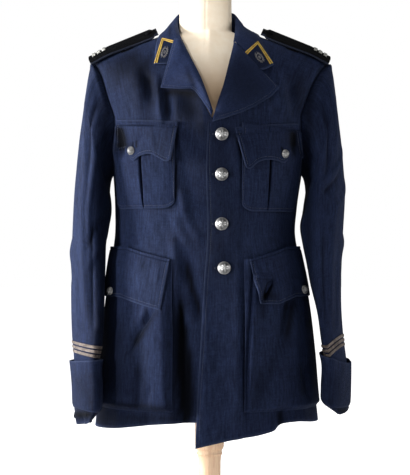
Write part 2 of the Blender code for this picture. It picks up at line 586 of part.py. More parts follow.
def armhole_ring(side):
    """The sleeve's first ring, at the very vertices of the panels' armhole edge, with each one's phase.

    It runs from the shoulder down the front to the armpit and up the back. Phase 0 is the shoulder and a
    half turn on is the armpit.
    """
    sign = SIDES[side]
    under = np.linspace(ARMHOLE_ANGLE, 90, SIDE_COLUMNS + 1)
    levels = np.concatenate([LEVELS_HIGH[::-1], [ARMHOLE_LEVEL], armhole_top(under[1:])])
    angles = np.radians(np.concatenate([np.full(len(LEVELS_HIGH), ARMHOLE_ANGLE), under]))
    front = cloth_point(sign * angles, levels)
    back = cloth_point(math.pi - sign * angles, levels)
    steps = np.concatenate([[0], np.cumsum(np.linalg.norm(np.diff(front, axis=0), axis=1))])
    phase = steps / steps[-1] * math.pi
    ring = np.concatenate([front, back[-2:0:-1]])
    phase = np.concatenate([phase, 2 * math.pi - phase[-2:0:-1]])
    low = smooth(0.80, 0.72, ring[:, 2])
    ring[:, 0] += sign * (ARMHOLE_GAP + 0.0008 * low)
    ring[:, 2] += 0.0030 * low
    return ring, phase


def sleeve_ring(row, sign, phase, grow=0.0):
    """An oval ring of the sleeve: phase 0 is its outer edge, a quarter turn on is its front edge."""
    turn = math.radians(row["turn"])
    deep = row["deep"] + grow
    lean = deep * math.sin(turn)
    wide = (row["outer_x"] - row["inner_x"]) / 2 + grow
    across = math.sqrt(max(wide**2 - lean**2, (0.35 * wide) ** 2))
    x = (row["outer_x"] + row["inner_x"]) / 2 + across * np.cos(phase) - lean * np.sin(phase)
    z = (row["outer_z"] + row["inner_z"]) / 2 + (row["outer_z"] - row["inner_z"]) / 2 * np.cos(phase)
    y = row["y"] - deep * math.cos(turn) * np.sin(phase)
    return np.stack([sign * x, y, z], -1)


def sleeve_rows(side):
    return SLEEVE_LEFT if side == "left" else SLEEVE_RIGHT


def sleeve_rings(side):
    """All the rings of a sleeve, from the armhole down, and their phases."""
    start, first = armhole_ring(side)
    even = np.arange(len(first)) / len(first) * 2 * math.pi
    rings, phases = [start], [first]
    for i, row in enumerate(sleeve_rows(side)):
        share = min(1.0, 0.30 + 0.35 * i)
        phase = first + (even - first) * smooth(0, 5, i)
        rings.append((1 - share) * start + share * sleeve_ring(row, SIDES[side], phase))
        phases.append(phase)
    return np.array(rings), np.array(phases)


def sleeve(side):
    """One sleeve, from the armhole's edge to its own hem below the cuff."""
    points = sleeve_rings(side)[0].transpose(1, 0, 2)
    if SIDES[side] == LEFT:
        points = points[::-1]
    return cloth_piece(f"sleeve_{side}", points[:, ::-1], NAVY_WOOL, closed=True)


def sleeve_skin(side, phase, z, lift):
    """A point on the sleeve's lower part at a phase and height, moved out level by lift."""
    rings = sleeve_rings(side)[0][8:]
    count = rings.shape[1]
    whole = np.floor(phase / (2 * math.pi) * count).astype(int)
    part = phase / (2 * math.pi) * count - whole

    def on_column(column):
        line = rings[:, column % count]
        return np.array([np.interp(z, line[::-1, 2], line[::-1, k]) for k in (0, 1)])

    near, far = on_column(whole), on_column(whole + 1)
    along = far - near
    out = np.array([-along[1], along[0]]) / np.linalg.norm(along) * SIDES[side]
    return np.array([*(near * (1 - part) + far * part + out * lift), z])


def cuff(side):
    """The turned-back cuff: it folds up from the sleeve at its lower edge and stands off at its top."""
    size = CUFF_LEFT if side == "left" else CUFF_RIGHT
    phases = np.arange(CUFF_COLUMNS) / CUFF_COLUMNS * 2 * math.pi
    columns = []
    for phase in phases:
        column = []
        for share in (0.0, 0.25, 0.5, 0.75, 1.0):
            tilt = size["tilt_bottom"] + share * (size["tilt_top"] - size["tilt_bottom"])
            z = size["bottom"] + share * (size["top"] - size["bottom"]) - tilt / 2 * math.cos(phase)
            column.append(sleeve_skin(side, phase, z, size["near"] + size["flare"] * share))
        columns.append(column)
    points = np.array(columns)
    if SIDES[side] == RIGHT:
        points = points[::-1]
    return cloth_piece(f"cuff_{side}", points, NAVY_WOOL, closed=True)


def sleeve_stripes(side):
    """Three rank braids across the outer half of the sleeve, above the cuff."""
    sign = SIDES[side]
    lift = CLOTH / 2 + BRAID["thick"] / 2 + 0.0012
    for n in range(3):
        middle = BRAID["start"] + n * BRAID["pitch"]
        columns = []
        for phase in np.arange(-1, 9) / CUFF_COLUMNS * 2 * math.pi + 1e-9:
            rise = 0.016 * max(0, math.cos(phase)) if sign == LEFT else 0.004 * math.cos(phase)
            z = middle + rise
            edges = (z - BRAID["width"] / 2, z + BRAID["width"] / 2)
            columns.append([sleeve_skin(side, phase, edge, lift) for edge in edges])
        points = np.array(columns)
        if sign == RIGHT:
            points = points[::-1]
        cloth_piece(f"sleeve_stripe_{side}_{n + 1}", points, SILVER_BRAID, thick=BRAID["thick"])


# ---------------------------------------------------------------- lapels and collar
def lapel(side):
    """The turned-back lapel, from the roll line to its free edge on the chest."""
    sign = SIDES[side]
    roll = ROLL_LEFT if sign == LEFT else ROLL_RIGHT
    free = LAPEL_LEFT if sign == LEFT else LAPEL_RIGHT
    shares = np.linspace(0, 1, 13)
    fold = line_through(roll, shares * LAPEL_END)
    edge_x, edge_z = (np.interp(shares, [r["share"] for r in free], [r[k] for r in free]) for k in "xz")
    # the right lapel lies on the collar's end
    over_collar = 0.0 if sign == LEFT else smooth(0.72, 1.0, shares)
    fold[:, 1] -= 0.0045 * smooth(0.80, 1.0, shares)
    edge = on_front(edge_x, edge_z, 0.0048 + 0.0075 * over_collar)
    across = np.array([0.0, 0.06, 0.2, 0.4, 0.6, 0.8, 1.0])[:, None, None]
    points = (1 - across) * fold + across * edge
    points[..., 1] -= 0.0035 * np.sin(np.pi * across[..., 0]) * smooth(0, 0.3, shares)
    raised = front_lift(points[..., 0], points[..., 2]) if sign == LEFT else 0.0
    points = lift_off(points, 0.0040 + raised + 0.004 * over_collar)
    turned = fold + np.array([0.0, 0.0035, -0.001])  # the roll's inner lip, tucked behind the fold
    points = np.concatenate([turned[None], points])
    if sign == RIGHT:
        points = points[::-1]
    return cloth_piece(f"lapel_{side}", points, NAVY_WOOL, thick=0.0016)


FALL = (0.0, 0.14, 0.42, 0.66, 1.0)  # shares of the collar's fall, from the fold to its free edge


def collar_half(side, shares):
    """Stand and fall at shares of the roll line: three rows of stand, then one row for each share of FALL."""
    roll, rows = (ROLL_LEFT, COLLAR_LEFT) if side == "left" else (ROLL_RIGHT, COLLAR_RIGHT)
    fold = line_through(roll, shares)
    mid, edge = curve(rows, "share", "mid", shares), curve(rows, "share", "edge", shares)
    inward = np.array([NECK["x"], NECK["y"], 0.0]) - fold
    inward[:, 2] = 0
    inward /= np.linalg.norm(inward, axis=1, keepdims=True)
    root = np.array([surface_height(x, y) for x, y, _ in fold])
    root = root + STAND_CLEAR * (1 + smooth(0.01, 0.035, fold[:, 1]))
    height = np.minimum(STAND_HEIGHT, fold[:, 2] - root)
    down = np.array([0, 0, 1.0]) * height[:, None]
    stand = [fold + inward * (0.0014 + 0.0006 * share) - down * share for share in (1.0, 0.55, 0.15)]
    near = fold * 0.80 + mid * 0.20 + np.array([0, 0, 0.0016]) - inward * 0.001
    swollen = 0.42 * fold + 0.58 * mid - inward * 0.0025
    near, swollen, mid, edge = (lift_off(row, 0.0036) for row in (near, swollen, mid, edge))
    return np.array([*stand, fold, near, swollen, mid, edge]).transpose(1, 0, 2)


def collar():
    """Stand and fall in one band, from one front end round the back of the neck to the other."""
    right = collar_half("right", np.linspace(COLLAR_RIGHT[0]["share"], 1, 12))
    left = collar_half("left", np.linspace(COLLAR_LEFT[0]["share"], 1, 12))
    points = np.concatenate([right, left[::-1][1:]])
    return cloth_piece("collar", points[::-1], NAVY_WOOL, thick=0.0016)


# ---------------------------------------------------------------- pockets and flaps
def pocket_angles(size, level, columns, sign):
    """Angles of a pocket's columns at each level, from its inner edge round to its outer one."""
    inner = np.abs(angle_at(sign * size["inner_x"], level))
    under = np.linspace(90, ARMHOLE_ANGLE, 12)
    outer = np.minimum(size["outer_angle"], np.interp(level, armhole_top(under), under) - 4.0)
    return sign * (inner + (np.radians(outer) - inner) * columns)


def chest_level(z):
    """Level of a point at height z on the chest, by one rise all over, so that a pocket's rows stay level."""
    return np.where(z <= ARMPIT, z, ARMPIT + (z - ARMPIT) * (RIDGE - ARMPIT) / CHEST_RISE)


def chest_pocket(side):
    """Patch pocket with an inverted pleat down its middle and rounded lower corners."""
    sign = SIDES[side]
    size = CHEST_POCKET
    columns = np.array([0.0, 0.06, 0.16, 0.30, 0.44, 0.485, 0.50, 0.515, 0.56, 0.70, 0.84, 0.94, 1.0])
    rows = np.array([0.0, 0.05, 0.14, 0.30, 0.48, 0.66, 0.84, 1.0])
    u, v = np.meshgrid(columns, rows, indexing="ij")
    corner = np.maximum(0, 1 - np.minimum(u, 1 - u) / 0.16)
    low = size["bottom"] + size["corner"] * (1 - np.sqrt(np.maximum(0, 1 - corner**2)))
    z = low + (size["top"] - low) * v
    level = chest_level(z)
    groove = 0.0018 * np.exp(-(((u - 0.5) / 0.012) ** 2)) * smooth(1.0, 0.9, v) * smooth(0.0, 0.12, v)
    puff = 0.0030 * np.sin(np.pi * np.clip(u, 0, 1)) * np.sin(np.pi * v)
    offset = 0.0034 + puff + 0.0014 * smooth(0.0, 0.10, np.minimum(np.minimum(u, 1 - u), v)) - groove
    points = cloth_point(pocket_angles(size, level, u, sign), level, offset)
    if sign == RIGHT:
        points = points[::-1]
    return cloth_piece(f"chest_pocket_{side}", points, NAVY_WOOL, thick=FLAP_WALL)


def flap_edge(u):
    """The scalloped lower edge of a chest flap: 0 at its arches and 1 at its three points."""
    return np.abs(np.cos(2 * np.pi * u)) ** 2.2


def chest_flap(side):
    """Three-pointed flap. It lies close at its seam and at the button, and its corners lift."""
    sign = SIDES[side]
    size = CHEST_FLAP
    u, v = np.meshgrid(np.linspace(0, 1, 17), np.linspace(0, 1, 6), indexing="ij")
    reach = size["depth"] + size["point"] * (flap_edge(u) - 0.35)
    z = size["top"] - 0.004 * (1 - u) - reach * (1 - v)
    level = chest_level(z)
    free = 1 - v
    hold = 1 - np.exp(-(((u - 0.5) / 0.22) ** 2))
    offset = 0.0062 + 0.0026 * np.sin(np.pi * u) + free * hold * size["lift"]
    drift = 0.10 * free * np.maximum(0, 1 - u / 0.5)
    points = cloth_point(pocket_angles(size, level, u * (1 - drift) + drift, sign), level, offset)
    if sign == RIGHT:
        points = points[::-1]
    return cloth_piece(f"chest_flap_{side}", points, NAVY_WOOL, thick=FLAP_WALL)


def skirt_pocket(side):
    """Bellows pocket of the skirt. Its border turns in to the panel, so it stands off like a shallow box."""
    sign = SIDES[side]
    size = SKIRT_POCKET
    columns = np.array([0.0, 0.012, 0.05, 0.13, 0.25, 0.37, 0.50, 0.63, 0.75, 0.87, 0.95, 0.988, 1.0])
    rows = np.array([0.0, 0.02, 0.07, 0.20, 0.36, 0.52, 0.68, 0.84, 1.0])
    u, v = np.meshgrid(columns, rows, indexing="ij")
    level = size["bottom"] + (size["top"] - size["bottom"]) * v + 0.010 * u * v
    rim = smooth(0.0, 0.035, np.minimum(np.minimum(u, 1 - u), 1.4 * v))
    swell = size["swell"] * (1 - 0.75 * v)
    crease = -0.0042 * np.exp(-(((u - 0.36 - 0.25 * (v - 0.8)) / 0.05) ** 2)) * smooth(0.25, 0.5, v)
    ridge = 0.0035 * np.exp(-(((u - 0.20) / 0.07) ** 2)) * smooth(0.9, 0.4, v)
    offset = 0.0024 + rim * (0.0018 + swell + crease + ridge)
    points = cloth_point(pocket_angles(size, level, u, sign), level, offset)
    if sign == RIGHT:
        points = points[::-1]
    return cloth_piece(f"skirt_pocket_{side}", points, NAVY_WOOL, thick=FLAP_WALL)


def skirt_flap(side):
    """Straight flap over the bellows pocket, higher towards the side."""
    sign = SIDES[side]
    size = SKIRT_FLAP
    u, v = np.meshgrid(np.linspace(0, 1, 12), np.linspace(0, 1, 6), indexing="ij")
    free = 1 - v
    top = size["top"] + size["rise"] * np.minimum(1, u / 0.55)
    level = top - size["depth"] * free
    wave = 0.0022 * np.sin(5.0 * u + (1.2 if sign == LEFT else 3.4)) * free
    corner = size["lift"] * free * np.maximum(0, 1 - u / 0.4)
    close = 0.0030 * smooth(0.6, 1.0, u) * free
    offset = 0.0079 + 0.0050 * np.sin(math.pi / 2 * free) + corner + np.abs(wave) - close
    drift = 0.07 * free * np.maximum(0, 1 - u / 0.6)
    points = cloth_point(pocket_angles(size, level, u * (1 - drift) + drift, sign), level, offset)
    if sign == RIGHT:
        points = points[::-1]
    return cloth_piece(f"skirt_flap_{side}", points, NAVY_WOOL, thick=FLAP_WALL)


# ---------------------------------------------------------------- buttons, boards, form and stand
def button(name, base, x, z, size, wall):
    """A domed metal button on a short shank, on a piece of cloth where a ray from the front meets it."""
    spot, out = cast(base, (x, -0.5, z), (0, 1, 0))
    r, dome, rim = size["radius"], size["dome"], BUTTON_RIM
    profile = [
        (0.0, rim + dome),
        (0.45 * r, rim + 0.90 * dome),
        (0.80 * r, rim + 0.55 * dome),
        (r, rim + 0.05 * dome),
        (0.94 * r, 0.0020),
        (0.30 * r, 0.0018),
        (0.30 * r, 0.0),
        (0.0, 0.0),
    ]
    return turned_piece(name, profile, SILVER, steps=14, spot=spot + out * (wall / 2 + 0.0004), facing=out)


def shoulder_board(side, panels):
    """A stiff board with a pointed inner end, and three stripes across its outer end."""
    place = BOARD_LEFT if side == "left" else BOARD_RIGHT
    inner, outer = Vector(place["inner"]), Vector(place["outer"])
    along = (outer - inner).normalized()
    tilt = math.radians(BOARD_TILT)
    up = Vector((0, -math.sin(tilt), math.cos(tilt)))
    up = (up - along * up.dot(along)).normalized()
    across = up.cross(along)
    turn = Matrix((along, across, up)).transposed().to_4x4()
    drops = []
    for far in np.linspace(0, BOARD["length"], 25):
        for wide in np.linspace(-0.5, 0.5, 11) * BOARD["width"]:
            under = inner + along * far + across * wide - up * (BOARD["thick"] / 2)
            for panel in panels:
                spot, _, _, distance = face_tree(panel).ray_cast(under, -up)
                if spot is not None:
                    drops.append(distance)
    turn.translation = inner - up * (min(drops) - CLOTH / 2 - 0.0007)
    half = BOARD["width"] / 2
    end = BOARD["length"]
    outline = [(-BOARD["point"], 0.0), (0, -half), (end, -half * 0.98), (end, half * 0.98), (0, half)]
    line = bpy.data.curves.new(f"shoulder_board_{side}", "CURVE")
    line.dimensions, line.fill_mode, line.extrude = "2D", "BOTH", BOARD["thick"] / 2
    spline = line.splines.new("POLY")
    spline.points.add(len(outline) - 1)
    for point, (x, y) in zip(spline.points, outline):
        point.co = (x, y, 0, 1)
    spline.use_cyclic_u = True
    board = piece(f"shoulder_board_{side}", line, BLACK_BOARD)
    board.matrix_world = turn
    for n in range(3):
        middle = BOARD["length"] - 0.012 - n * BOARD["pitch"]
        bpy.ops.mesh.primitive_cube_add(size=1)
        stripe = bpy.context.object
        stripe.name = stripe.data.name = f"board_stripe_{side}_{n + 1}"
        scale = Matrix.Diagonal((BOARD["stripe"], BOARD["width"] * 0.94, 0.0012, 1))
        rise = BOARD["thick"] / 2 + 0.0003 + 0.0006
        stripe.data.transform(Matrix.Translation((middle, 0, rise)) @ scale)
        stripe.matrix_world = turn
        stripe.data.materials.append(SILVER_BRAID)
        for group in list(stripe.users_collection):
            group.objects.unlink(stripe)
        TUNIC.objects.link(stripe)
    return board


def form_radius(phase, z):
    """Distance from the neck's axis to the form's skin, by direction and height.

    The torso's part is where a ray meets the inset body surface, found by halving, and the neck's part is
    a round section that flares at its root. A soft maximum joins the two.
    """
    axis = np.array([NECK["x"], NECK["y"]])
    way = np.stack([np.sin(phase), -np.cos(phase)], -1)
    inset = curve(FORM_INSET, "level", "inset", np.minimum(z, 0.95))
    low, high = np.zeros(phase.shape), np.full(phase.shape, 0.30)
    for _ in range(26):
        middle = (low + high) / 2
        x, y = axis[0] + middle * way[..., 0], axis[1] + middle * way[..., 1]
        peak = shoulder_height(x) - inset * 1.1
        rise = np.clip((z - ARMPIT) / np.maximum(peak - ARMPIT, 1e-6), 0, 1)
        level = np.where(z <= ARMPIT, z, ARMPIT + rise * (RIDGE - ARMPIT))
        wide = body_width(x, level) - inset
        front, back = curve(BODY, "level", "front", level), curve(BODY, "level", "back", level)
        depth = np.where(y < 0, front, back) - inset
        depth = depth * np.maximum(1 - rise**DOME, 1e-9) ** (1 / DOME)
        inside = (np.abs(x) / wide) ** SQUARE + (np.abs(y) / depth) ** SQUARE < 1
        inside &= rise < 1
        low, high = np.where(inside, middle, low), np.where(inside, high, middle)
    low = np.minimum(low, FORM_SIDE / np.maximum(np.abs(np.sin(phase)), 1e-6))
    share = np.clip((z - NECK["base"]) / (NECK["top"] - NECK["base"]), 0, 1)
    neck = NECK["base_radius"] + (NECK["top_radius"] - NECK["base_radius"]) * share
    neck = neck * smooth(0.86, 0.93, z)
    soft = 0.0015
    return np.logaddexp(low / soft, neck / soft) * soft


def dress_form():
    """The limbless torso with its neck: level rings from its underside to the flat top of the neck."""
    torso = np.linspace(FORM_BOTTOM, 0.88, 12)
    shoulders = [0.905, 0.922, 0.934, 0.944, 0.953, 0.962, 0.972, 0.984]
    heights = np.concatenate([torso, shoulders, [1.0, 1.03, NECK["top"]]])
    columns = np.radians([0, 12, 24, 37, 51, 65, 76, 83, 87, 90, 93, 97, 104, 115, 129, 143, 156, 168])
    phase = np.concatenate([columns, columns + math.pi])
    p, z = np.meshgrid(phase, heights, indexing="ij")
    r = form_radius(p, z)
    points = np.stack([NECK["x"] + r * np.sin(p), NECK["y"] - r * np.cos(p), z], -1)
    mesh = grid_mesh("dress_form", points, closed=True)
    shell = bmesh.new()
    shell.from_mesh(mesh)
    bmesh.ops.holes_fill(shell, edges=[e for e in shell.edges if e.is_boundary])
    bmesh.ops.recalc_face_normals(shell, faces=shell.faces)
    shell.to_mesh(mesh)
    shell.free()
    return piece("dress_form", mesh, JERSEY)


def stand():
    """Turned wooden pole and round base under the form."""
    r, wide = POLE["radius"], POLE["flare"]
    pole = [
        (0.0, FORM_BOTTOM - 0.0003),
        (0.040, FORM_BOTTOM - 0.0003),
        (0.040, 0.315),
        (0.030, 0.300),
        (wide, 0.225),
        (wide, 0.200),
        (r + 0.001, 0.185),
        (r, 0.170),
        (r, POLE["base"] + 0.0003),
        (0.0, POLE["base"] + 0.0003),
    ]
    turned_piece("stand_pole", pole, WOOD, steps=24)
    wide, tall = BASE["radius"], BASE["height"]
    base = [
        (0.0, tall),
        (wide - 0.016, tall),
        (wide - 0.006, tall - 0.004),
        (wide, tall - 0.012),
        (wide, 0.0),
        (0.0, 0.0),
    ]
    turned_piece("stand_base", base, WOOD, steps=40)


def front_buttons(base):
    """Four large buttons down the top front."""
    for n, z in enumerate(FRONT_BUTTON["heights"]):
        x = BUTTON_X + (0.004 if n == 3 else 0.0)
        button(f"front_button_{n + 1}", base, x, z, FRONT_BUTTON, CLOTH)


PATCHES = {  # corners of each collar patch seen from the front: the braid runs end, corner, end
    "right": dict(
        front=(-0.0988, 0.9235), corner=(-0.0890, 0.9715), top=(-0.0655, 0.9620), inner=(-0.0775, 0.9235)
    ),
    "left": dict(
        front=(0.1132, 0.9235), corner=(0.0895, 0.9670), top=(0.0680, 0.9440), inner=(0.0915, 0.9135)
    ),
}
PATCH = dict(thick=0.0006, lift=0.0025, braid=0.0040)


def collar_patch(side, base):
    """A cloth patch near the collar's point, with braid along its outer and its upper side."""
    spots = {name: np.array(spot) for name, spot in PATCHES[side].items()}

    def laid(flat, lift):
        hits = [cast(base, (x, -0.5, z), (0, 1, 0)) for x, z in flat.reshape(-1, 2)]
        out = np.mean([normal for _, normal in hits], axis=0)
        out /= np.linalg.norm(out)
        return np.array([spot + out * lift for spot, _ in hits]).reshape(*flat.shape[:-1], 3)

    u, v = np.meshgrid(np.linspace(0, 1, 5), np.linspace(0, 1, 5), indexing="ij")
    u, v = u[..., None], v[..., None]
    low = spots["front"] * (1 - u) + spots["inner"] * u
    high = spots["corner"] * (1 - u) + spots["top"] * u
    patch = laid(low * (1 - v) + high * v, PATCH["lift"])
    inside = {
        "front": spots["front"] + unit(spots["inner"] - spots["front"]) * PATCH["braid"],
        "top": spots["top"] + unit(spots["inner"] - spots["top"]) * PATCH["braid"],
    }
    across = unit(spots["top"] - spots["corner"]) + unit(spots["front"] - spots["corner"])
    inside["corner"] = spots["corner"] + across * PATCH["braid"]
    lines = []
    for ends in (spots, inside):
        leg = np.linspace(0, 1, 5)[:, None]
        first = ends["front"] * (1 - leg) + ends["corner"] * leg
        second = ends["corner"] * (1 - leg) + ends["top"] * leg
        lines.append(np.concatenate([first, second[1:]]))
    braid = laid(np.array(lines).transpose(1, 0, 2), PATCH["lift"] + PATCH["thick"] + 0.0005)
    if side == "left":
        patch, braid = patch[::-1], braid[::-1]
    cloth_piece(f"collar_patch_{side}", patch, NAVY_WOOL, thick=PATCH["thick"])
    cloth_piece(f"patch_braid_{side}", braid, YELLOW_BRAID, thick=PATCH["thick"])


# ---------------------------------------------------------------- build
for old in list(bpy.data.objects):
    bpy.data.objects.remove(old)
TUNIC = collection_for("dress_tunic_on_form")
NAVY_WOOL = material("navy wool", NAVY)
SILVER = material("silvered button", (0.52, 0.52, 0.50, 1), 0.35, 0.9)
SILVER_BRAID = material("silver braid", (0.38, 0.33, 0.29, 1), 0.6, 0.4)
YELLOW_BRAID = material("yellow braid", (0.80, 0.60, 0.16, 1), 0.6)
BLACK_BOARD = material("black board", (0.012, 0.013, 0.018, 1), 0.7)
JERSEY = material("white jersey", (0.86, 0.83, 0.78, 1), 0.8)
WOOD = material("pale wood", (0.66, 0.43, 0.26, 1), 0.45)

dress_form()
stand()
band = collar()
for each_side in SIDES:
    front, back = front_panel(each_side), back_panel(each_side)
    sleeve(each_side)
    cuff(each_side)
    sleeve_stripes(each_side)
    lapel(each_side)
    collar_patch(each_side, band)
    chest_pocket(each_side)
    skirt_pocket(each_side)
    chest, skirt = chest_flap(each_side), skirt_flap(each_side)
    for name, flap, spots in (("chest", chest, CHEST_BUTTON), ("skirt", skirt, SKIRT_BUTTON)):
        button(f"{name}_button_{each_side}", flap, *spots[each_side], SMALL_BUTTON, FLAP_WALL)
    shoulder_board(each_side, (front, back))
    if each_side == "left":
        front_buttons(front)
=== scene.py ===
import math

import bmesh
import bpy
import numpy as np
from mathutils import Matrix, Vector


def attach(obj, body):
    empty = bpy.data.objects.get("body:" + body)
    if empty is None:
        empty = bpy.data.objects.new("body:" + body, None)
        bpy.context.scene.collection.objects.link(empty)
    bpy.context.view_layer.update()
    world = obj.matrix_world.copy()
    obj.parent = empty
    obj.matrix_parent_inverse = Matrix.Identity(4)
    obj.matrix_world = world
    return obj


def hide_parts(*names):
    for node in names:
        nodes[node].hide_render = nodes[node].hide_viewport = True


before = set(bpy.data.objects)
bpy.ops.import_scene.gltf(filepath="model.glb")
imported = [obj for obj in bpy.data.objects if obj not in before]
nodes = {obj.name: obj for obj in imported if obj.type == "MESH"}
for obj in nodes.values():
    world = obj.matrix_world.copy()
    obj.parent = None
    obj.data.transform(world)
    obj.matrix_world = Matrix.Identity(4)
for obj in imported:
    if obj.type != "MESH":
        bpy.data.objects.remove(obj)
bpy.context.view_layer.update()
sides = {"right": -1, "left": 1}  # the wearer's sides, and the sign of x there

# Metres. The tunic faces -Y. A point of the body has an angle round it (0 at the front, 90 degrees at the
# wearer's left side, 180 at the back) and a level: a height up to the armpit, then a share of the way up
# to the ridge of the shoulders.

# camera
cameraFacts = {"place": (-0.0086, -2.6, 0.6), "turn": (math.pi / 2, 0.0, 0.0), "lens": 103.7, "sensor": 36.0}


def makeCamera():
    data = bpy.data.cameras.new("camera")
    data.lens, data.sensor_width = cameraFacts["lens"], cameraFacts["sensor"]
    camera = bpy.data.objects.new("camera", data)
    camera.location, camera.rotation_euler = cameraFacts["place"], cameraFacts["turn"]
    bpy.context.scene.collection.objects.link(camera)
    bpy.context.scene.camera = camera


makeCamera()

# the body's measures, the same as the solids'
bodySize = {
    "armpit": 0.72,
    "ridge": 0.95,
    "shoulderX": 0.221,
    "shoulderZ": 0.9335,
    "slope": 0.364,
    "square": 2.2,
    "dome": 2.4,
    "armholeAngle": 62.0,
    "armholeLevel": 0.8235,
    "waist": 0.595,
    "cloth": 0.0018,
    "seam": 0.0006,
    "overlap": 0.0036,
    "chestRise": 0.262,
    "creaseGain": 1.4,
    "armholeSink": 0.0036,
}
bodyTable = {
    "level": [0.2, 0.255, 0.3, 0.39, 0.48, 0.56, 0.61, 0.65, 0.72, 0.8235, 0.863, 0.913, 0.95],
    "right": [0.219, 0.215, 0.209, 0.201, 0.192, 0.184, 0.178, 0.178, 0.182, 0.2, 0.214, 0.23, 0.2455],
    "left": [0.209, 0.205, 0.2, 0.193, 0.183, 0.169, 0.161, 0.164, 0.174, 0.192, 0.206, 0.229, 0.2515],
    "front": [0.146, 0.146, 0.146, 0.144, 0.139, 0.13, 0.123, 0.122, 0.126, 0.131, 0.129, 0.122, 0.112],
    "back": [0.138, 0.136, 0.133, 0.127, 0.119, 0.109, 0.101, 0.101, 0.109, 0.118, 0.118, 0.112, 0.102],
}
# folds: x1, z1, x2, z2, half width, rise, bow to the side at mid length, share of lean to one flank
mainFolds = [
    (-0.1116, 0.893, -0.107, 0.846, 0.01, -0.0028, 0.002, 0),
    (-0.132, 0.905, -0.126, 0.825, 0.012, 0.004, 0.003, 0),
    (-0.095, 0.885, -0.086, 0.815, 0.006, 0.0055, 0, 0.45),
    (-0.111, 0.889, -0.1, 0.85, 0.009, -0.0026, 0, 0),
    (-0.077, 0.862, -0.073, 0.818, 0.006, -0.0036, 0, 0),
    (-0.062, 0.857, -0.06, 0.815, 0.008, 0.0018, 0, 0),
    (-0.04, 0.856, -0.024, 0.812, 0.014, -0.0028, 0, 0),
    (-0.0556, 0.695, -0.0215, 0.6, 0.007, 0.0055, 0.003, 0.3),
    (-0.0369, 0.705, -0.0286, 0.613, 0.006, -0.005, 0.002, 0),
    (-0.0441, 0.562, -0.0155, 0.458, 0.0095, -0.0125, 0.002, 0),
    (-0.0441, 0.48, -0.026, 0.395, 0.007, 0.005, 0, 0),
    (-0.065, 0.6, -0.056, 0.5, 0.007, 0.0055, 0, 0.2),
    (-0.064, 0.488, -0.061, 0.424, 0.004, 0.0045, 0, 0.2),
    (-0.0531, 0.52, -0.0525, 0.428, 0.006, -0.011, 0, 0),
    (-0.057, 0.45, -0.0465, 0.27, 0.017, -0.02, 0, -0.35),
    (0.06, 0.6, 0.03, 0.545, 0.014, -0.003, 0, 0),
    (0.076, 0.524, 0.0655, 0.285, 0.0035, -0.008, 0.003, 0),
    (0.053, 0.52, 0.05, 0.24, 0.012, 0.004, 0, 0),
    (0.132, 0.29, 0.133, 0.24, 0.012, -0.01, 0, 0),
    (0.165, 0.44, 0.17, 0.25, 0.014, 0.004, 0, 0),
    (0.12, 0.9, 0.135, 0.83, 0.014, 0.0045, 0, 0),
    (0.148, 0.885, 0.156, 0.825, 0.01, -0.0045, 0, 0),
    (-0.16, 0.8, -0.157, 0.752, 0.008, -0.005, 0, 0),
    (0.154, 0.797, 0.152, 0.752, 0.008, -0.005, 0, 0),
]
backFolds = [
    (-0.12, 0.88, -0.105, 0.74, 0.016, 0.0045, 0, 0),
    (0.115, 0.87, 0.105, 0.73, 0.016, 0.0045, 0, 0),
    (-0.06, 0.69, -0.085, 0.6, 0.012, 0.0045, 0, 0),
    (0.07, 0.68, 0.08, 0.59, 0.012, 0.004, 0, 0),
    (-0.085, 0.52, -0.1, 0.26, 0.017, 0.007, 0, 0),
    (0.078, 0.5, 0.096, 0.26, 0.017, 0.0065, 0, 0),
    (-0.045, 0.56, -0.05, 0.3, 0.014, -0.005, 0, 0),
    (0.045, 0.56, 0.052, 0.31, 0.014, -0.0045, 0, 0),
]
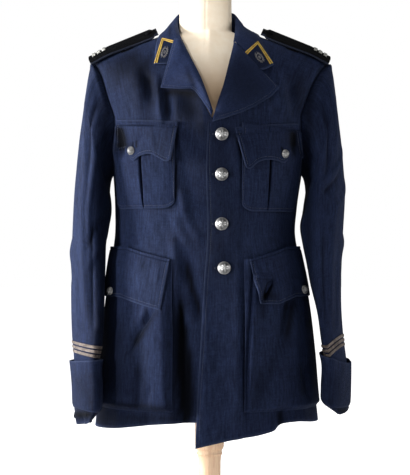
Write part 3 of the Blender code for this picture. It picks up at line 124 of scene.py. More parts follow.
# the smaller creases, placed one by one
frontCreases = [
    (-0.118, 0.9, -0.108, 0.86, 0.006, -0.0014, 0.003, 0.0),
    (-0.135, 0.905, -0.15, 0.86, 0.01, 0.0018, 0.004, 0.2),
    (-0.05, 0.8, -0.04, 0.76, 0.007, 0.0016, 0.002, 0.2),
    (-0.046, 0.75, -0.052, 0.69, 0.008, -0.0016, 0.003, 0.0),
    (-0.034, 0.7, -0.052, 0.64, 0.006, 0.0016, -0.003, 0.3),
    (-0.06, 0.645, -0.034, 0.575, 0.006, 0.002, 0.004, 0.4),
    (-0.078, 0.64, -0.052, 0.59, 0.007, -0.0016, 0.003, 0.3),
    (-0.11, 0.64, -0.085, 0.59, 0.008, 0.0013, 0.004, 0.2),
    (-0.15, 0.63, -0.125, 0.585, 0.009, -0.0015, 0.003, 0.2),
    (-0.026, 0.5, -0.03, 0.4, 0.006, 0.0022, 0.002, 0.3),
    (-0.053, 0.47, -0.049, 0.3, 0.005, -0.0022, 0.002, 0.3),
    (0.06, 0.65, 0.035, 0.6, 0.008, 0.0014, 0.003, 0.2),
    (0.09, 0.64, 0.07, 0.585, 0.009, -0.0014, 0.004, 0.2),
    (0.125, 0.645, 0.105, 0.6, 0.008, 0.0013, 0.003, 0.2),
    (0.15, 0.64, 0.145, 0.595, 0.007, -0.0016, 0.002, 0.2),
    (0.005, 0.53, 0.018, 0.3, 0.018, -0.0018, 0.004, 0.0),
    (-0.004, 0.505, 0.062, 0.5, 0.006, -0.0016, 0.002, 0.2),
    (0.006, 0.424, 0.026, 0.404, 0.006, -0.0014, 0.002, 0.2),
    (0.03, 0.36, 0.052, 0.33, 0.007, 0.0013, 0.003, 0.2),
    (-0.004, 0.39, 0.012, 0.36, 0.008, 0.0012, 0.002, 0.2),
    (0.052, 0.7, 0.048, 0.64, 0.008, -0.0012, 0.002, 0.1),
    (0.052, 0.79, 0.05, 0.72, 0.009, 0.0012, 0.002, 0.1),
    (0.062, 0.83, 0.095, 0.815, 0.007, -0.0012, 0.002, 0.2),
    (0.15, 0.885, 0.165, 0.83, 0.008, -0.0018, 0.003, 0.3),
    (0.1, 0.86, 0.112, 0.822, 0.006, 0.0014, 0.002, 0.2),
    (0.11, 0.268, 0.122, 0.24, 0.008, 0.003, 0.002, 0.2),
    (0.15, 0.29, 0.157, 0.245, 0.008, 0.0026, 0.002, 0.2),
    (-0.16, 0.29, -0.166, 0.246, 0.01, 0.0026, 0.002, 0.2),
    (-0.11, 0.284, -0.106, 0.255, 0.01, -0.002, 0.002, 0.2),
]
backCreases = [
    (-0.15, 0.9, -0.128, 0.82, 0.008, 0.0018, 0.004, 0.3),
    (0.15, 0.895, 0.126, 0.81, 0.008, 0.0018, -0.004, 0.3),
    (-0.09, 0.86, -0.08, 0.77, 0.012, -0.002, 0.003, 0.1),
    (0.086, 0.87, 0.078, 0.765, 0.012, -0.0018, 0.003, 0.1),
    (-0.03, 0.925, 0.026, 0.918, 0.008, -0.0016, 0.003, 0.2),
    (-0.12, 0.66, -0.07, 0.628, 0.008, 0.0022, 0.006, 0.4),
    (0.122, 0.655, 0.06, 0.632, 0.008, 0.0022, 0.006, 0.4),
    (-0.105, 0.625, -0.05, 0.6, 0.007, -0.0022, 0.006, 0.3),
    (0.11, 0.618, 0.045, 0.606, 0.007, -0.002, 0.006, 0.3),
    (-0.145, 0.56, -0.155, 0.38, 0.014, 0.003, 0.006, 0.2),
    (0.14, 0.54, 0.15, 0.36, 0.014, 0.0028, 0.006, 0.2),
    (-0.02, 0.5, -0.022, 0.33, 0.009, 0.0016, 0.002, 0.2),
    (0.022, 0.48, 0.024, 0.34, 0.009, 0.0016, 0.002, 0.2),
]
frontEdge = {
    "z": [0.22, 0.33, 0.43, 0.52, 0.6, 0.74, 0.812],
    "x": [-0.026, -0.021, -0.015, -0.01, -0.0045, -0.006, -0.001],
}
hemRight = {"x": [0.0, 0.1, 0.18, 0.215], "z": [0.268, 0.262, 0.25, 0.246]}
hemLeft = {"x": [-0.026, 0.035, 0.11, 0.14, 0.205], "z": [0.221, 0.2355, 0.249, 0.262, 0.2565]}
neckEdge = {
    "frontRight": {
        "x": [-0.045, -0.0014, 0.015, 0.0365, 0.052, 0.06, 0.065, 0.071],
        "z": [0.79, 0.82, 0.872, 0.921, 0.953, 0.973, 0.984, 1.0],
    },
    "frontLeft": {
        "x": [-0.001, 0.019, 0.0305, 0.0405, 0.048, 0.053, 0.059, 0.068],
        "z": [0.806, 0.8435, 0.88, 0.921, 0.95, 0.972, 0.985, 1.0],
    },
    "back": {"x": [0.0, 0.025, 0.048, 0.066], "z": [0.98, 0.981, 0.985, 1.0]},
}


def curve(table, key, column, at):
    # cubic through a table's column, its slopes taken across each knot's neighbours
    knots, values = np.array(table[key], float), np.array(table[column], float)
    slopes = np.gradient(values, knots, axis=0)
    at = np.clip(np.asarray(at, float), knots[0], knots[-1])
    i = np.clip(np.searchsorted(knots, at, side="right") - 1, 0, len(knots) - 2)
    span = knots[i + 1] - knots[i]
    t = (at - knots[i]) / span
    if values.ndim > 1:
        t, span = t[..., None], span[..., None]
    return (
        (2 * t**3 - 3 * t**2 + 1) * values[i]
        + (t**3 - 2 * t**2 + t) * span * slopes[i]
        + (3 * t**2 - 2 * t**3) * values[i + 1]
        + (t**3 - t**2) * span * slopes[i + 1]
    )


def smooth(low, high, value):
    # 0 below low, 1 above high, an S between
    t = np.clip((value - low) / (high - low), 0, 1)
    return t * t * (3 - 2 * t)


def bump(value, width):
    # a bell: 1 where the value is 0, a third at one width from it
    return np.exp(-((value / width) ** 2))


def signedPower(value, power):
    # a power that keeps the sign: below 1 it squares a circle off, and above 1 it draws it in
    return np.sign(value) * np.abs(value) ** power


def ringTurns(count):
    # even steps round a full turn, without its end
    return np.arange(count) / count * 2 * math.pi


def asArrays(angle, level):
    return np.broadcast_arrays(np.asarray(angle, float), np.asarray(level, float))


def shoulderHeight(x):
    # the shoulders fall away from the neck at one slope
    return bodySize["shoulderZ"] + bodySize["slope"] * (bodySize["shoulderX"] - np.abs(x))


def bodyWidth(sign, level):
    right, left = curve(bodyTable, "level", "right", level), curve(bodyTable, "level", "left", level)
    return np.where(sign < 0, right, left)


def bodyDepth(front, level):
    ahead, behind = curve(bodyTable, "level", "front", level), curve(bodyTable, "level", "back", level)
    return np.where(front, ahead, behind)


def bodyPoint(angle, level):
    # superellipse sections: width and depth by level; over the armpit the depth is rounded off to the ridge
    angle, level = asArrays(angle, level)
    power, armpit, ridge = 2 / bodySize["square"], bodySize["armpit"], bodySize["ridge"]
    sine, cosine = np.sin(angle), np.cos(angle)
    rise = np.clip((level - armpit) / (ridge - armpit), 0, 1)
    rounding = (1 - rise ** bodySize["dome"]) ** (1 / bodySize["dome"])
    x = bodyWidth(sine, level) * signedPower(sine, power)
    y = -bodyDepth(cosine > 0, level) * signedPower(cosine, power) * rounding
    z = np.where(level <= armpit, level, armpit + rise * (shoulderHeight(x) - armpit))
    return np.stack([x, y, z], -1)


def foldHeight(flat, rows):
    # each fold is a bump across its own bowed line, steeper on one flank, and fades at both ends
    total = np.zeros(flat.shape[:-1])
    for x1, z1, x2, z2, width, rise, bow, lean in rows:
        along = np.array([x2 - x1, z2 - z1])
        length = math.hypot(*along)
        away = flat - np.array([x1, z1])
        share = away @ along / length**2
        across = (away[..., 0] * along[1] - away[..., 1] * along[0]) / length
        across = across - bow * (1 - (2 * np.clip(share, 0, 1) - 1) ** 2)
        fade = smooth(-0.3, 0.25, share) * smooth(1.3, 0.75, share)
        reach = width * np.where(across > 0, 1 + lean, 1 - lean)
        total += rise * fade * np.exp(-((across / reach) ** 2))
    return total


def bodyNormal(angle, level):
    # the body's way out, from the cross product of small steps round it and up it
    step = 1e-3
    level = np.minimum(level, bodySize["ridge"] - 2 * step)
    across = bodyPoint(angle + step, level) - bodyPoint(angle - step, level)
    up = bodyPoint(angle, level + step) - bodyPoint(angle, level - step)
    normal = np.cross(across, up)
    return normal / np.linalg.norm(normal, axis=-1, keepdims=True)


def foldDepth(angle, level):
    # how far the folds and creases move the cloth out; they die away where the body turns to its sides
    angle, level = asArrays(angle, level)
    front = np.cos(angle) > 0
    flat = bodyPoint(angle, level)[..., [0, 2]]
    under = smooth(-0.006, -0.022, flat[..., 0])  # the right front's folds end under the left front's edge

    def frontFolds(rows):
        right = [row for row in rows if row[0] < -0.01]
        return foldHeight(flat, right) * under + foldHeight(flat, [row for row in rows if row not in right])

    folds = np.where(front, frontFolds(mainFolds), foldHeight(flat, backFolds))
    folds = folds * np.minimum(1, 1.6 * np.abs(np.cos(angle)))
    fine = np.where(front, frontFolds(frontCreases), foldHeight(flat, backCreases))
    return folds + fine * np.minimum(1, 2.5 * np.abs(np.cos(angle))) * bodySize["creaseGain"]


def clothPoint(angle, level, offset=0.0):
    # the body's point moved out along its normal by the folds and the layer's offset
    angle, level = asArrays(angle, level)
    return bodyPoint(angle, level) + bodyNormal(angle, level) * (foldDepth(angle, level) + offset)[..., None]


def angleAt(x, level):
    # the angle whose point on the section has this x
    share = np.clip(np.abs(x) / bodyWidth(x, level), 0, 1)
    return np.sign(x) * np.arcsin(share ** (bodySize["square"] / 2))


def levelAt(x, z):
    # over the armpit, the height's share of the way up to the shoulder at this x
    armpit, ridge = bodySize["armpit"], bodySize["ridge"]
    rise = (z - armpit) / (shoulderHeight(x) - armpit)
    return np.where(z <= armpit, z, armpit + rise * (ridge - armpit))


def chestLevel(z):
    # over the armpit, the height's share of one rise, the same across the chest
    armpit, ridge = bodySize["armpit"], bodySize["ridge"]
    return np.where(z <= armpit, z, armpit + (z - armpit) * (ridge - armpit) / bodySize["chestRise"])


def bodyDistance(point):
    # distance outside the body near the neck and shoulders, and the unit way out, from the rule's slope
    armpit, ridge, dome = bodySize["armpit"], bodySize["ridge"], bodySize["dome"]

    def rule(p):
        x, y, z = p[..., 0], p[..., 1], p[..., 2]
        rise = np.maximum((z - armpit) / (shoulderHeight(x) - armpit), 1e-6)
        level = armpit + np.minimum(rise, 1) * (ridge - armpit)
        share = np.minimum(np.abs(x) / bodyWidth(x, level), 0.95)
        depth = bodyDepth(y < 0, level) * (1 - share ** bodySize["square"]) ** (1 / bodySize["square"])
        return (np.abs(y) / depth) ** dome + rise**dome - 1

    step = 2e-4
    slope = np.stack([(rule(point + step * e) - rule(point - step * e)) / (2 * step) for e in np.eye(3)], -1)
    size = np.linalg.norm(slope, axis=-1)
    return rule(point) / size, slope / size[..., None]


def liftOff(point, clearance):
    # points nearer the body than the clearance move out along its slope, a few times over
    for _ in range(5):
        distance, way = bodyDistance(point)
        point = point + way * np.maximum(0, clearance - distance)[..., None]
    return point


def frontLift(x, z):
    # the left front lies over the right one up to its edge and up to the lapels
    return bodySize["overlap"] * smooth(0.06, 0.05, x) * smooth(0.865, 0.82, z)


def onFront(x, z, offset=0.0):
    # the cloth's point at this x and height, moved out by the offset
    level = levelAt(x, z)
    return clothPoint(angleAt(x, level), level, offset)


# meshes from grids
def arcLengths(points, axis):
    # length along each line of a grid, from its first point
    steps = np.linalg.norm(np.diff(points, axis=axis), axis=-1)
    total = np.cumsum(steps, axis=axis)
    pad = [(0, 0), (0, 0)]
    pad[axis] = (1, 0)
    return np.pad(total, pad)


def lengthsToEnd(points):
    # length along each line of a grid's second direction, to its last point
    return arcLengths(points[:, ::-1], 1)[:, ::-1]


def pathLengths(path):
    return np.concatenate([[0], np.cumsum(np.linalg.norm(np.diff(path, axis=0), axis=1))])


def nearEdge(points, sidesUsed):
    # distance to the nearest of a grid's edges: l, r, b and t are its first and last lines each way
    u, v = arcLengths(points, 0), arcLengths(points, 1)
    found = {"l": u, "r": u[-1:] - u, "b": v, "t": v[:, -1:] - v}
    return np.minimum.reduce([found[k] for k in sidesUsed])


def edgeMark(points, width, closed=False):
    # 1 at the grid's own edges, falling to 0 within width of them; a closed grid has edges one way only
    return bump(nearEdge(points, "bt" if closed else "lrbt"), width)


def gridNormals(points, closed=False):
    # cross product of the two grid directions; a closed grid wraps in its first
    if closed:
        along = np.roll(points, -1, 0) - np.roll(points, 1, 0)
    else:
        along = np.gradient(points, axis=0)
    normal = np.cross(along, np.gradient(points, axis=1))
    return normal / np.maximum(np.linalg.norm(normal, axis=-1, keepdims=True), 1e-12)


def gridQuads(across, up, closed=False, keep=None):
    # the four corners of each cell of a grid, numbered row after row; keep leaves cells out
    last = across if closed else across - 1
    i, j = np.meshgrid(np.arange(last), np.arange(up - 1), indexing="ij")
    k = (i + 1) % across
    quads = np.stack([i * up + j, k * up + j, k * up + j + 1, i * up + j + 1], -1)
    return quads[keep[:last]] if keep is not None else quads.reshape(-1, 4)


def wrappedColumns(i, across):
    # a closed grid's last cells end in its first column, which counts here as one past the last
    return np.where((i == 0) & (np.roll(i, 1, 1) + np.roll(i, -1, 1) > across / 2), across, i)


def buildMesh(name, vertices, faces, uv=None):
    # faces is an array of rows of one length; uv holds a pair for each corner of each face
    mesh = bpy.data.meshes.new(name)
    sidesEach = faces.shape[1]
    mesh.vertices.add(len(vertices))
    mesh.vertices.foreach_set("co", np.ascontiguousarray(vertices, np.float32).ravel())
    mesh.loops.add(faces.size)
    mesh.loops.foreach_set("vertex_index", faces.astype(np.int32).ravel())
    mesh.polygons.add(len(faces))
    mesh.polygons.foreach_set("loop_start", np.arange(0, faces.size, sidesEach, dtype=np.int32))
    if uv is not None:
        layer = mesh.uv_layers.new(name="flat")
        layer.uv.foreach_set("vector", np.ascontiguousarray(uv, np.float32).ravel())
    mesh.update(calc_edges=True)
    mesh.validate()
    mesh.shade_smooth()
    return mesh


def dropLoose(mesh):
    # takes out the points that no face uses
    shell = bmesh.new()
    shell.from_mesh(mesh)
    bmesh.ops.delete(shell, geom=[v for v in shell.verts if not v.link_faces], context="VERTS")
    shell.to_mesh(mesh)
    shell.free()


def closeEnds(mesh):
    # fills the open rings at a tube's ends or a turned piece's middle, and turns every face outwards
    shell = bmesh.new()
    shell.from_mesh(mesh)
    bmesh.ops.holes_fill(shell, edges=[e for e in shell.edges if e.is_boundary], sides=0)
    bmesh.ops.recalc_face_normals(shell, faces=shell.faces)
    shell.to_mesh(mesh)
    shell.free()
    mesh.shade_smooth()


def markPoints(mesh, label, values):
    mark = mesh.attributes.new(label, "FLOAT", "POINT")
    mark.data.foreach_set("value", np.ascontiguousarray(values, np.float32).ravel())


def unit(vector):
    return vector / np.maximum(np.linalg.norm(vector, axis=-1, keepdims=True), 1e-12)


# sewing: every row of stitches is kept until all cloth is made, then each group becomes one piece
stitchFacts = {"pitch": 0.0034, "length": 0.0025, "radius": 0.00034, "dip": 0.0003, "lift": 0.001}
stitchSides, stitchRings = 4, 5  # points round one stitch, and its sections
sewn = {"right": [], "left": [], "collar": []}


def crossing(points, distance, inset):
    # where the distance, which grows along the first direction, passes the inset: one point for each line
    i = np.clip((distance < inset).sum(0) - 1, 0, len(points) - 2)
    j = np.arange(points.shape[1])
    share = (inset - distance[i, j]) / np.maximum(distance[i + 1, j] - distance[i, j], 1e-9)
    share = np.clip(share, 0, 1)[:, None]
    return points[i, j] * (1 - share) + points[i + 1, j] * share


def sewRow(group, path, way, pitch=stitchFacts["pitch"]):
    # short threads end to end along the path: each a square tube whose ends dip into the cloth
    facts, run = stitchFacts, pathLengths(path)
    count = int(run[-1] / pitch)
    if count < 2:
        return
    middle = (np.arange(count) + 0.5) * pitch

    def at(values, where):
        return np.stack([np.interp(where, run, values[:, k]) for k in range(3)], -1)

    along = unit(at(path, middle + 0.0006) - at(path, middle - 0.0006))
    out = at(way, middle)
    out = unit(out - along * (out * along).sum(-1, keepdims=True))
    across = np.cross(along, out)
    s = np.linspace(-1, 1, stitchRings)[None, :, None, None]
    turn = (np.arange(stitchSides) + 0.5)[None, None, :, None] * math.pi / 2
    size = facts["radius"] * np.sqrt(1 - 0.75 * s**2)
    centre = at(path, middle)[:, None, None, :]
    along, out, across = (d[:, None, None, :] for d in (along, out, across))
    rise = facts["lift"] - facts["dip"] * s**2 + size * np.cos(turn)
    vertices = centre + along * s * facts["length"] / 2 + out * rise + across * size * np.sin(turn)
    ring, corner = np.meshgrid(np.arange(stitchRings - 1), np.arange(stitchSides), indexing="ij")
    start, after = ring * stitchSides + corner, ring * stitchSides + (corner + 1) % stitchSides
    quads = np.stack([start, after, after + stitchSides, start + stitchSides], -1).reshape(-1, 4)
    quads = np.concatenate([quads, [[3, 2, 1, 0], [16, 17, 18, 19]]])  # and its two ends
    faces = (quads[None] + stitchSides * stitchRings * np.arange(count)[:, None, None]).reshape(-1, 4)
    sewn[group].append((vertices.reshape(-1, 3), faces))


def sewEdges(group, points, sidesUsed, inset, ends=0.004):
    # rows of stitches at a distance inside a grid's edges: l, r, b and t are its first and last lines
    way = gridNormals(points)
    centre = points * np.array([0, 0, 1.0])
    way = way * np.sign(((points - centre) * way).sum(-1).mean())
    flipped = points.transpose(1, 0, 2)
    grids = {
        "l": (points, way), "r": (points[::-1], way[::-1]),
        "b": (flipped, way.transpose(1, 0, 2)), "t": (flipped[::-1], way.transpose(1, 0, 2)[::-1]),
    }
    for label in sidesUsed:
        cloth, out = grids[label]
        distance = arcLengths(cloth, 0)
        path, normals = crossing(cloth, distance, inset), crossing(out, distance, inset)
        run = pathLengths(path)
        inside = (run > ends) & (run < run[-1] - ends)
        if inside.sum() > 3:
            sewRow(group, path[inside], normals[inside])


def makeSewing():
    # the rows of each group joined to one mesh, their corners' numbers moved on
    for group, rows in sewn.items():
        start = np.cumsum([0] + [len(v) for v, _ in rows[:-1]])
        vertices = np.concatenate([v for v, _ in rows])
        faces = np.concatenate([f + k for (_, f), k in zip(rows, start)])
        mesh = buildMesh(f"stitching_{group}", vertices, faces)
        place(f"stitching_{group}", mesh, navyThread, slotName="navy_wool")
        print(f"stitching {group}: {len(vertices) // (stitchSides * stitchRings)} stitches")


def place(name, mesh, material, stands=(), slotName=None):
    piece = bpy.data.objects.new(name, mesh)
    piece.data.materials.append(material)
    bpy.context.scene.collection.objects.link(piece)
    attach(piece, "root")
    if stands:
        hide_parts(*stands)
    return piece


def solidPiece(name, points, material, stands, slotName, marks=None, uv=None):
    # sections round their first direction, joined to a closed tube with filled ends
    mesh = buildMesh(name, points.reshape(-1, 3), gridQuads(*points.shape[:2], closed=True), uv)
    for label, values in (marks or {}).items():
        markPoints(mesh, label, values)
    closeEnds(mesh)
    return place(name, mesh, material, stands, slotName)


# painted shade and shadow in the colour: the darkest places between folds, under edges and round the buttons,
# drawn on a plane in front of the tunic where lines from one place meet it: x1, z1, x2, z2, half width, depth
# of the painted shade
drawnFrom = {"x": -0.0086, "z": 0.6, "away": 2.6, "toPlane": 2.47}
# painted shade in the gutters of the chest flaps
gutterShadows = {  # beyond each chest flap's curled end, on the flap and on the pocket under it
    "right": [
        (-0.1638, 0.7971, -0.156, 0.77, 0.0085, 1.6),
        (-0.158, 0.77, -0.158, 0.762, 0.013, 1.0),
    ],
    "left": [(0.1494, 0.7917, 0.151, 0.762, 0.0085, 1.2)],
}
paintedShadows = {
    "front_panel_right": [
        (-0.0837, 0.8637, -0.02, 0.8595, 0.007, 0.95),
        (-0.0792, 0.8565, -0.0765, 0.8169, 0.0055, 0.8),
        (-0.04, 0.854, -0.0351, 0.8151, 0.017, 0.6),
        (-0.0171, 0.8115, -0.0117, 0.7845, 0.01, 0.45),
        (-0.1107, 0.8889, -0.0999, 0.8529, 0.008, 0.4),
        (-0.15, 0.93, -0.105, 0.915, 0.016, 0.35),
        (-0.0585, 0.7935, -0.0693, 0.7359, 0.0055, 0.9),
        (-0.0615, 0.7359, -0.061, 0.6765, 0.003, 1.2),
        (-0.062, 0.676, -0.0711, 0.656, 0.0022, 0.8),
        (-0.072, 0.651, -0.1611, 0.658, 0.0016, 0.6),
        (-0.064, 0.55, -0.0745, 0.466, 0.0034, 0.8),
        (-0.1755, 0.9105, -0.1071, 0.8925, 0.025, 0.6),
        (-0.059, 0.4659, -0.052, 0.2985, 0.017, 0.72),
        (-0.14, 0.87, -0.09, 0.845, 0.038, 0.3),
        (-0.1971, 0.274, -0.0351, 0.274, 0.01, 0.5),
        (-0.0725, 0.46, -0.0705, 0.29, 0.0026, 0.7),
    ],
    "front_panel_left": [
        (0.058, 0.7305, 0.058, 0.6729, 0.0024, 0.9),
        (0.0585, 0.674, 0.0685, 0.65, 0.0022, 0.8),
        (0.068, 0.6441, 0.1485, 0.646, 0.0016, 0.5),
        (0.045, 0.7845, 0.067, 0.7251, 0.003, 0.9),
        (0.156, 0.9, 0.164, 0.825, 0.016, 0.45),
        (0.005, 0.7875, 0.038, 0.786, 0.007, 0.7),
        (0.005, 0.715, 0.038, 0.714, 0.0066, 0.7),
        (0.006, 0.624, 0.038, 0.6235, 0.0066, 0.6),
        (0.008, 0.544, 0.04, 0.5435, 0.0066, 0.6),
        (0.0738, 0.5145, 0.0666, 0.4425, 0.0024, 1.0),
        (0.0666, 0.4425, 0.0679, 0.4065, 0.0024, 1.0),
        (0.0679, 0.4065, 0.0635, 0.3579, 0.0024, 1.0),
        (0.0635, 0.3579, 0.0635, 0.2859, 0.0024, 1.0),
        (0.0705, 0.5523, 0.074, 0.5181, 0.0022, 0.9),
        (0.017, 0.8, 0.019, 0.5, 0.026, 0.36),
    ],
    "skirt_pocket_cloth_right": [
        (-0.1701, 0.4515, -0.1755, 0.3075, 0.022, 0.5),
        (-0.1251, 0.4335, -0.1287, 0.3075, 0.015, 0.35),
        (-0.098, 0.464, -0.138, 0.4, 0.005, 0.6),
        (-0.1755, 0.2985, -0.0711, 0.2913, 0.006, 0.6),
    ],
    "cuff_cloth_right": [(-0.223, 0.355, -0.223, 0.29, 0.032, 0.35)],
    "cuff_cloth_left": [(0.23, 0.355, 0.23, 0.29, 0.032, 0.25)],
    "sleeve_cloth_right": [
        (-0.186, 0.86, -0.193, 0.68, 0.012, 0.6),
        (-0.193, 0.68, -0.196, 0.46, 0.012, 0.5),
        (-0.196, 0.46, -0.2, 0.38, 0.01, 0.5),
        (-0.248, 0.28, -0.2115, 0.2805, 0.011, 1.0),
    ],
    "sleeve_cloth_left": [
        (0.18, 0.88, 0.176, 0.7, 0.01, 0.6),
        (0.176, 0.7, 0.18, 0.5, 0.01, 0.6),
        (0.18, 0.5, 0.19, 0.39, 0.012, 0.6),
        (0.229, 0.288, 0.26, 0.286, 0.008, 0.8),
    ],
    "collar_cloth": [(0.056, 1.0, 0.108, 0.93, 0.025, 0.35)],
    "lapel_cloth_left": [(0.03, 0.93, 0.09, 0.845, 0.045, 0.55)],
    "chest_pocket_cloth_right": gutterShadows["right"] + [(-0.069, 0.756, -0.071, 0.74, 0.005, 0.7)],
    "chest_pocket_cloth_left": gutterShadows["left"] + [(0.062, 0.74, 0.069, 0.725, 0.004, 0.7)],
    "chest_flap_cloth_right": gutterShadows["right"] + [
        (-0.164, 0.756, -0.16, 0.748, 0.003, 1.0),
        (-0.1325, 0.774, -0.1325, 0.762, 0.0016, 1.0),
    ],
    "chest_flap_cloth_left": gutterShadows["left"] + [(0.129, 0.764, 0.13, 0.756, 0.0018, 1.0)],
    "skirt_flap_cloth_left": [
        (0.1125, 0.5163, 0.0975, 0.485, 0.006, 0.9),
        (0.1089, 0.496, 0.1215, 0.49, 0.008, 0.6),
        (0.08, 0.527, 0.11, 0.524, 0.0012, 0.6),
    ],
    "skirt_pocket_cloth_left": [
        (0.1503, 0.486, 0.1377, 0.4155, 0.008, 0.9),
        (0.1323, 0.4065, 0.0945, 0.3345, 0.013, 0.35),
        (0.0945, 0.3345, 0.081, 0.294, 0.011, 0.35),
        (0.1629, 0.3705, 0.1719, 0.3165, 0.01, 0.5),
        (0.096, 0.485, 0.096, 0.45, 0.006, 0.5),
    ],
    "lapel_cloth_right": [(-0.0405, 0.9015, -0.023, 0.86, 0.0045, 0.6)],
}


def seenFromFront(points):
    # where the line from the place in front to each point meets the plane
    share = drawnFrom["toPlane"] / (drawnFrom["away"] + points[..., 1])
    flat = [drawnFrom[k] + (points[..., n] - drawnFrom[k]) * share for k, n in (("x", 0), ("z", 2))]
    return np.stack(flat, -1)


def clothPiece(name, points, material, stands, thick=None, closed=False, keep=None, edge=None, paintedShadeAndDye=None,
               slotName="navy_wool", trim=False):
    # a grid of the cloth's middle, its flat coordinates as UV, and Solidify for the wall
    across, up = points.shape[:2]
    quads = gridQuads(across, up, closed, keep)
    loop = np.concatenate([points, points[:1]]) if closed else points
    u, v = arcLengths(loop, 0), arcLengths(points, 1)
    u = u - u[u.shape[0] // 2] if not closed else u
    i, j = quads // up, quads % up
    uv = np.stack([u.mean(1)[wrappedColumns(i, across) if closed else i], v.mean(0)[j]], -1)
    mesh = buildMesh(name, points.reshape(-1, 3), quads, uv)
    # painted shade and shadow from the table, on the points that face the front
    if name in paintedShadows:
        rows = [row + (0, 0) for row in paintedShadows[name]]
        placed = foldHeight(seenFromFront(points), rows) * (points[..., 1] < 0)
        paintedShadeAndDye = np.clip(np.maximum(placed, 0 if paintedShadeAndDye is None else paintedShadeAndDye), 0, 1)
    for label, values in (("edge", edge), ("paintedShadeAndDye", paintedShadeAndDye)):
        if values is not None:
            markPoints(mesh, label, values)
    if keep is not None:
        dropLoose(mesh)
    piece = place(name, mesh, material, stands, slotName)
    wall = piece.modifiers.new("wall", "SOLIDIFY")
    wall.thickness, wall.offset = thick or bodySize["cloth"], 0.0
    if trim:  # braid and other trim end here, without their flat size; braid narrower than a sheet may be
        return piece
    # its flat size: the lines' lengths each way, and the sum of the cells' areas
    cells = np.linalg.norm(np.cross(loop[1:, :-1] - loop[:-1, :-1], loop[:-1, 1:] - loop[:-1, :-1]), axis=-1)
    area = float(cells[keep[: cells.shape[0]]].sum() if keep is not None else cells.sum())
    wide, long = float(u[-1].max() - u[0].min()), float(v[:, -1].max())
    wide = max(wide, float((u[-1] - u[0]).max()))
    area = min(area, wide * long)
    return piece


# node groups and materials
def newGroup(name, inputs, outputs):
    # a node group with its sockets, and its two end nodes
    group = bpy.data.node_groups.new(name, "ShaderNodeTree")
    for label, kind, value in inputs:
        socket = group.interface.new_socket(label, in_out="INPUT", socket_type=kind)
        if value is not None:
            socket.default_value = value
    for label, kind in outputs:
        group.interface.new_socket(label, in_out="OUTPUT", socket_type=kind)
    return group, group.nodes.new("NodeGroupInput"), group.nodes.new("NodeGroupOutput")


def math2(tree, operation, first, second=None, third=None):
    node = tree.nodes.new("ShaderNodeMath")
    node.operation = operation
    for socket, value in zip(node.inputs, (first, second, third)):
        if value is None:
            continue
        if isinstance(value, (int, float)):
            socket.default_value = value
        else:
            tree.links.new(value, socket)
    return node.outputs[0]


def mixColour(tree, factor, first, second, blend="MIX"):
    node = tree.nodes.new("ShaderNodeMix")
    node.data_type, node.blend_type = "RGBA", blend
    for label, value in (("Factor", factor), ("A", first), ("B", second)):
        kind = "VALUE" if label == "Factor" else "RGBA"
        socket = [s for s in node.inputs if s.name == label and s.type == kind][0]
        if isinstance(value, (int, float, tuple)):
            socket.default_value = value
        else:
            tree.links.new(value, socket)
    return [s for s in node.outputs if s.type == "RGBA"][0]


def noiseNode(tree, vector, scale, detail=3.0, rough=0.5):
    node = tree.nodes.new("ShaderNodeTexNoise")
    node.inputs["Scale"].default_value = scale
    node.inputs["Detail"].default_value = detail
    node.inputs["Roughness"].default_value = rough
    tree.links.new(vector, node.inputs["Vector"])
    return node.outputs["Fac"]


def rampNode(tree, value, low, high):
    node = tree.nodes.new("ShaderNodeMapRange")
    node.inputs["From Min"].default_value, node.inputs["From Max"].default_value = low, high
    tree.links.new(value, node.inputs["Value"])
    return node.outputs["Result"]


def twillGroup():
    # twill: ridges along u + v, each broken into floats; height of the yarns, and a shade that follows them
    tree, ends, out = newGroup(
        "twill weave",
        [("Flat", "NodeSocketVector", None), ("Pitch", "NodeSocketFloat", 0.0011),
         ("Slope", "NodeSocketFloat", 1.6)],
        [("Height", "NodeSocketFloat"), ("Shade", "NodeSocketFloat")],
    )
    split = tree.nodes.new("ShaderNodeSeparateXYZ")
    tree.links.new(ends.outputs["Flat"], split.inputs[0])
    u, v = split.outputs[0], split.outputs[1]
    wobble = noiseNode(tree, ends.outputs["Flat"], 260.0, 2.0)
    rise = math2(tree, "MULTIPLY_ADD", u, ends.outputs["Slope"], v)
    turns = math2(tree, "DIVIDE", rise, ends.outputs["Pitch"])
    turns = math2(tree, "MULTIPLY_ADD", wobble, 0.9, turns)
    ridge = math2(tree, "SINE", math2(tree, "MULTIPLY", turns, 2 * math.pi))
    floats = math2(tree, "DIVIDE", u, ends.outputs["Pitch"])
    floats = math2(tree, "SINE", math2(tree, "MULTIPLY", floats, 4 * math.pi))
    height = math2(tree, "MULTIPLY_ADD", floats, 0.25, ridge)
    tree.links.new(height, out.inputs["Height"])
    tree.links.new(math2(tree, "MULTIPLY_ADD", height, 0.25, 0.5), out.inputs["Shade"])
    return tree


def mottleGroup():
    # two noises of different sizes, as nap and handling leave them: a mask from 0 to 1
    tree, ends, out = newGroup(
        "mottle",
        [("Place", "NodeSocketVector", None), ("Large", "NodeSocketFloat", 18.0),
         ("Small", "NodeSocketFloat", 220.0)],
        [("Mask", "NodeSocketFloat")],
    )
    masks = []
    for label, detail in (("Large", 4.0), ("Small", 2.0)):
        node = tree.nodes.new("ShaderNodeTexNoise")
        node.inputs["Detail"].default_value = detail
        tree.links.new(ends.outputs["Place"], node.inputs["Vector"])
        tree.links.new(ends.outputs[label], node.inputs["Scale"])
        masks.append(node.outputs["Fac"])
    mixed = math2(tree, "MULTIPLY_ADD", masks[1], 0.45, math2(tree, "MULTIPLY", masks[0], 0.55))
    tree.links.new(rampNode(tree, mixed, 0.32, 0.68), out.inputs["Mask"])
    return tree


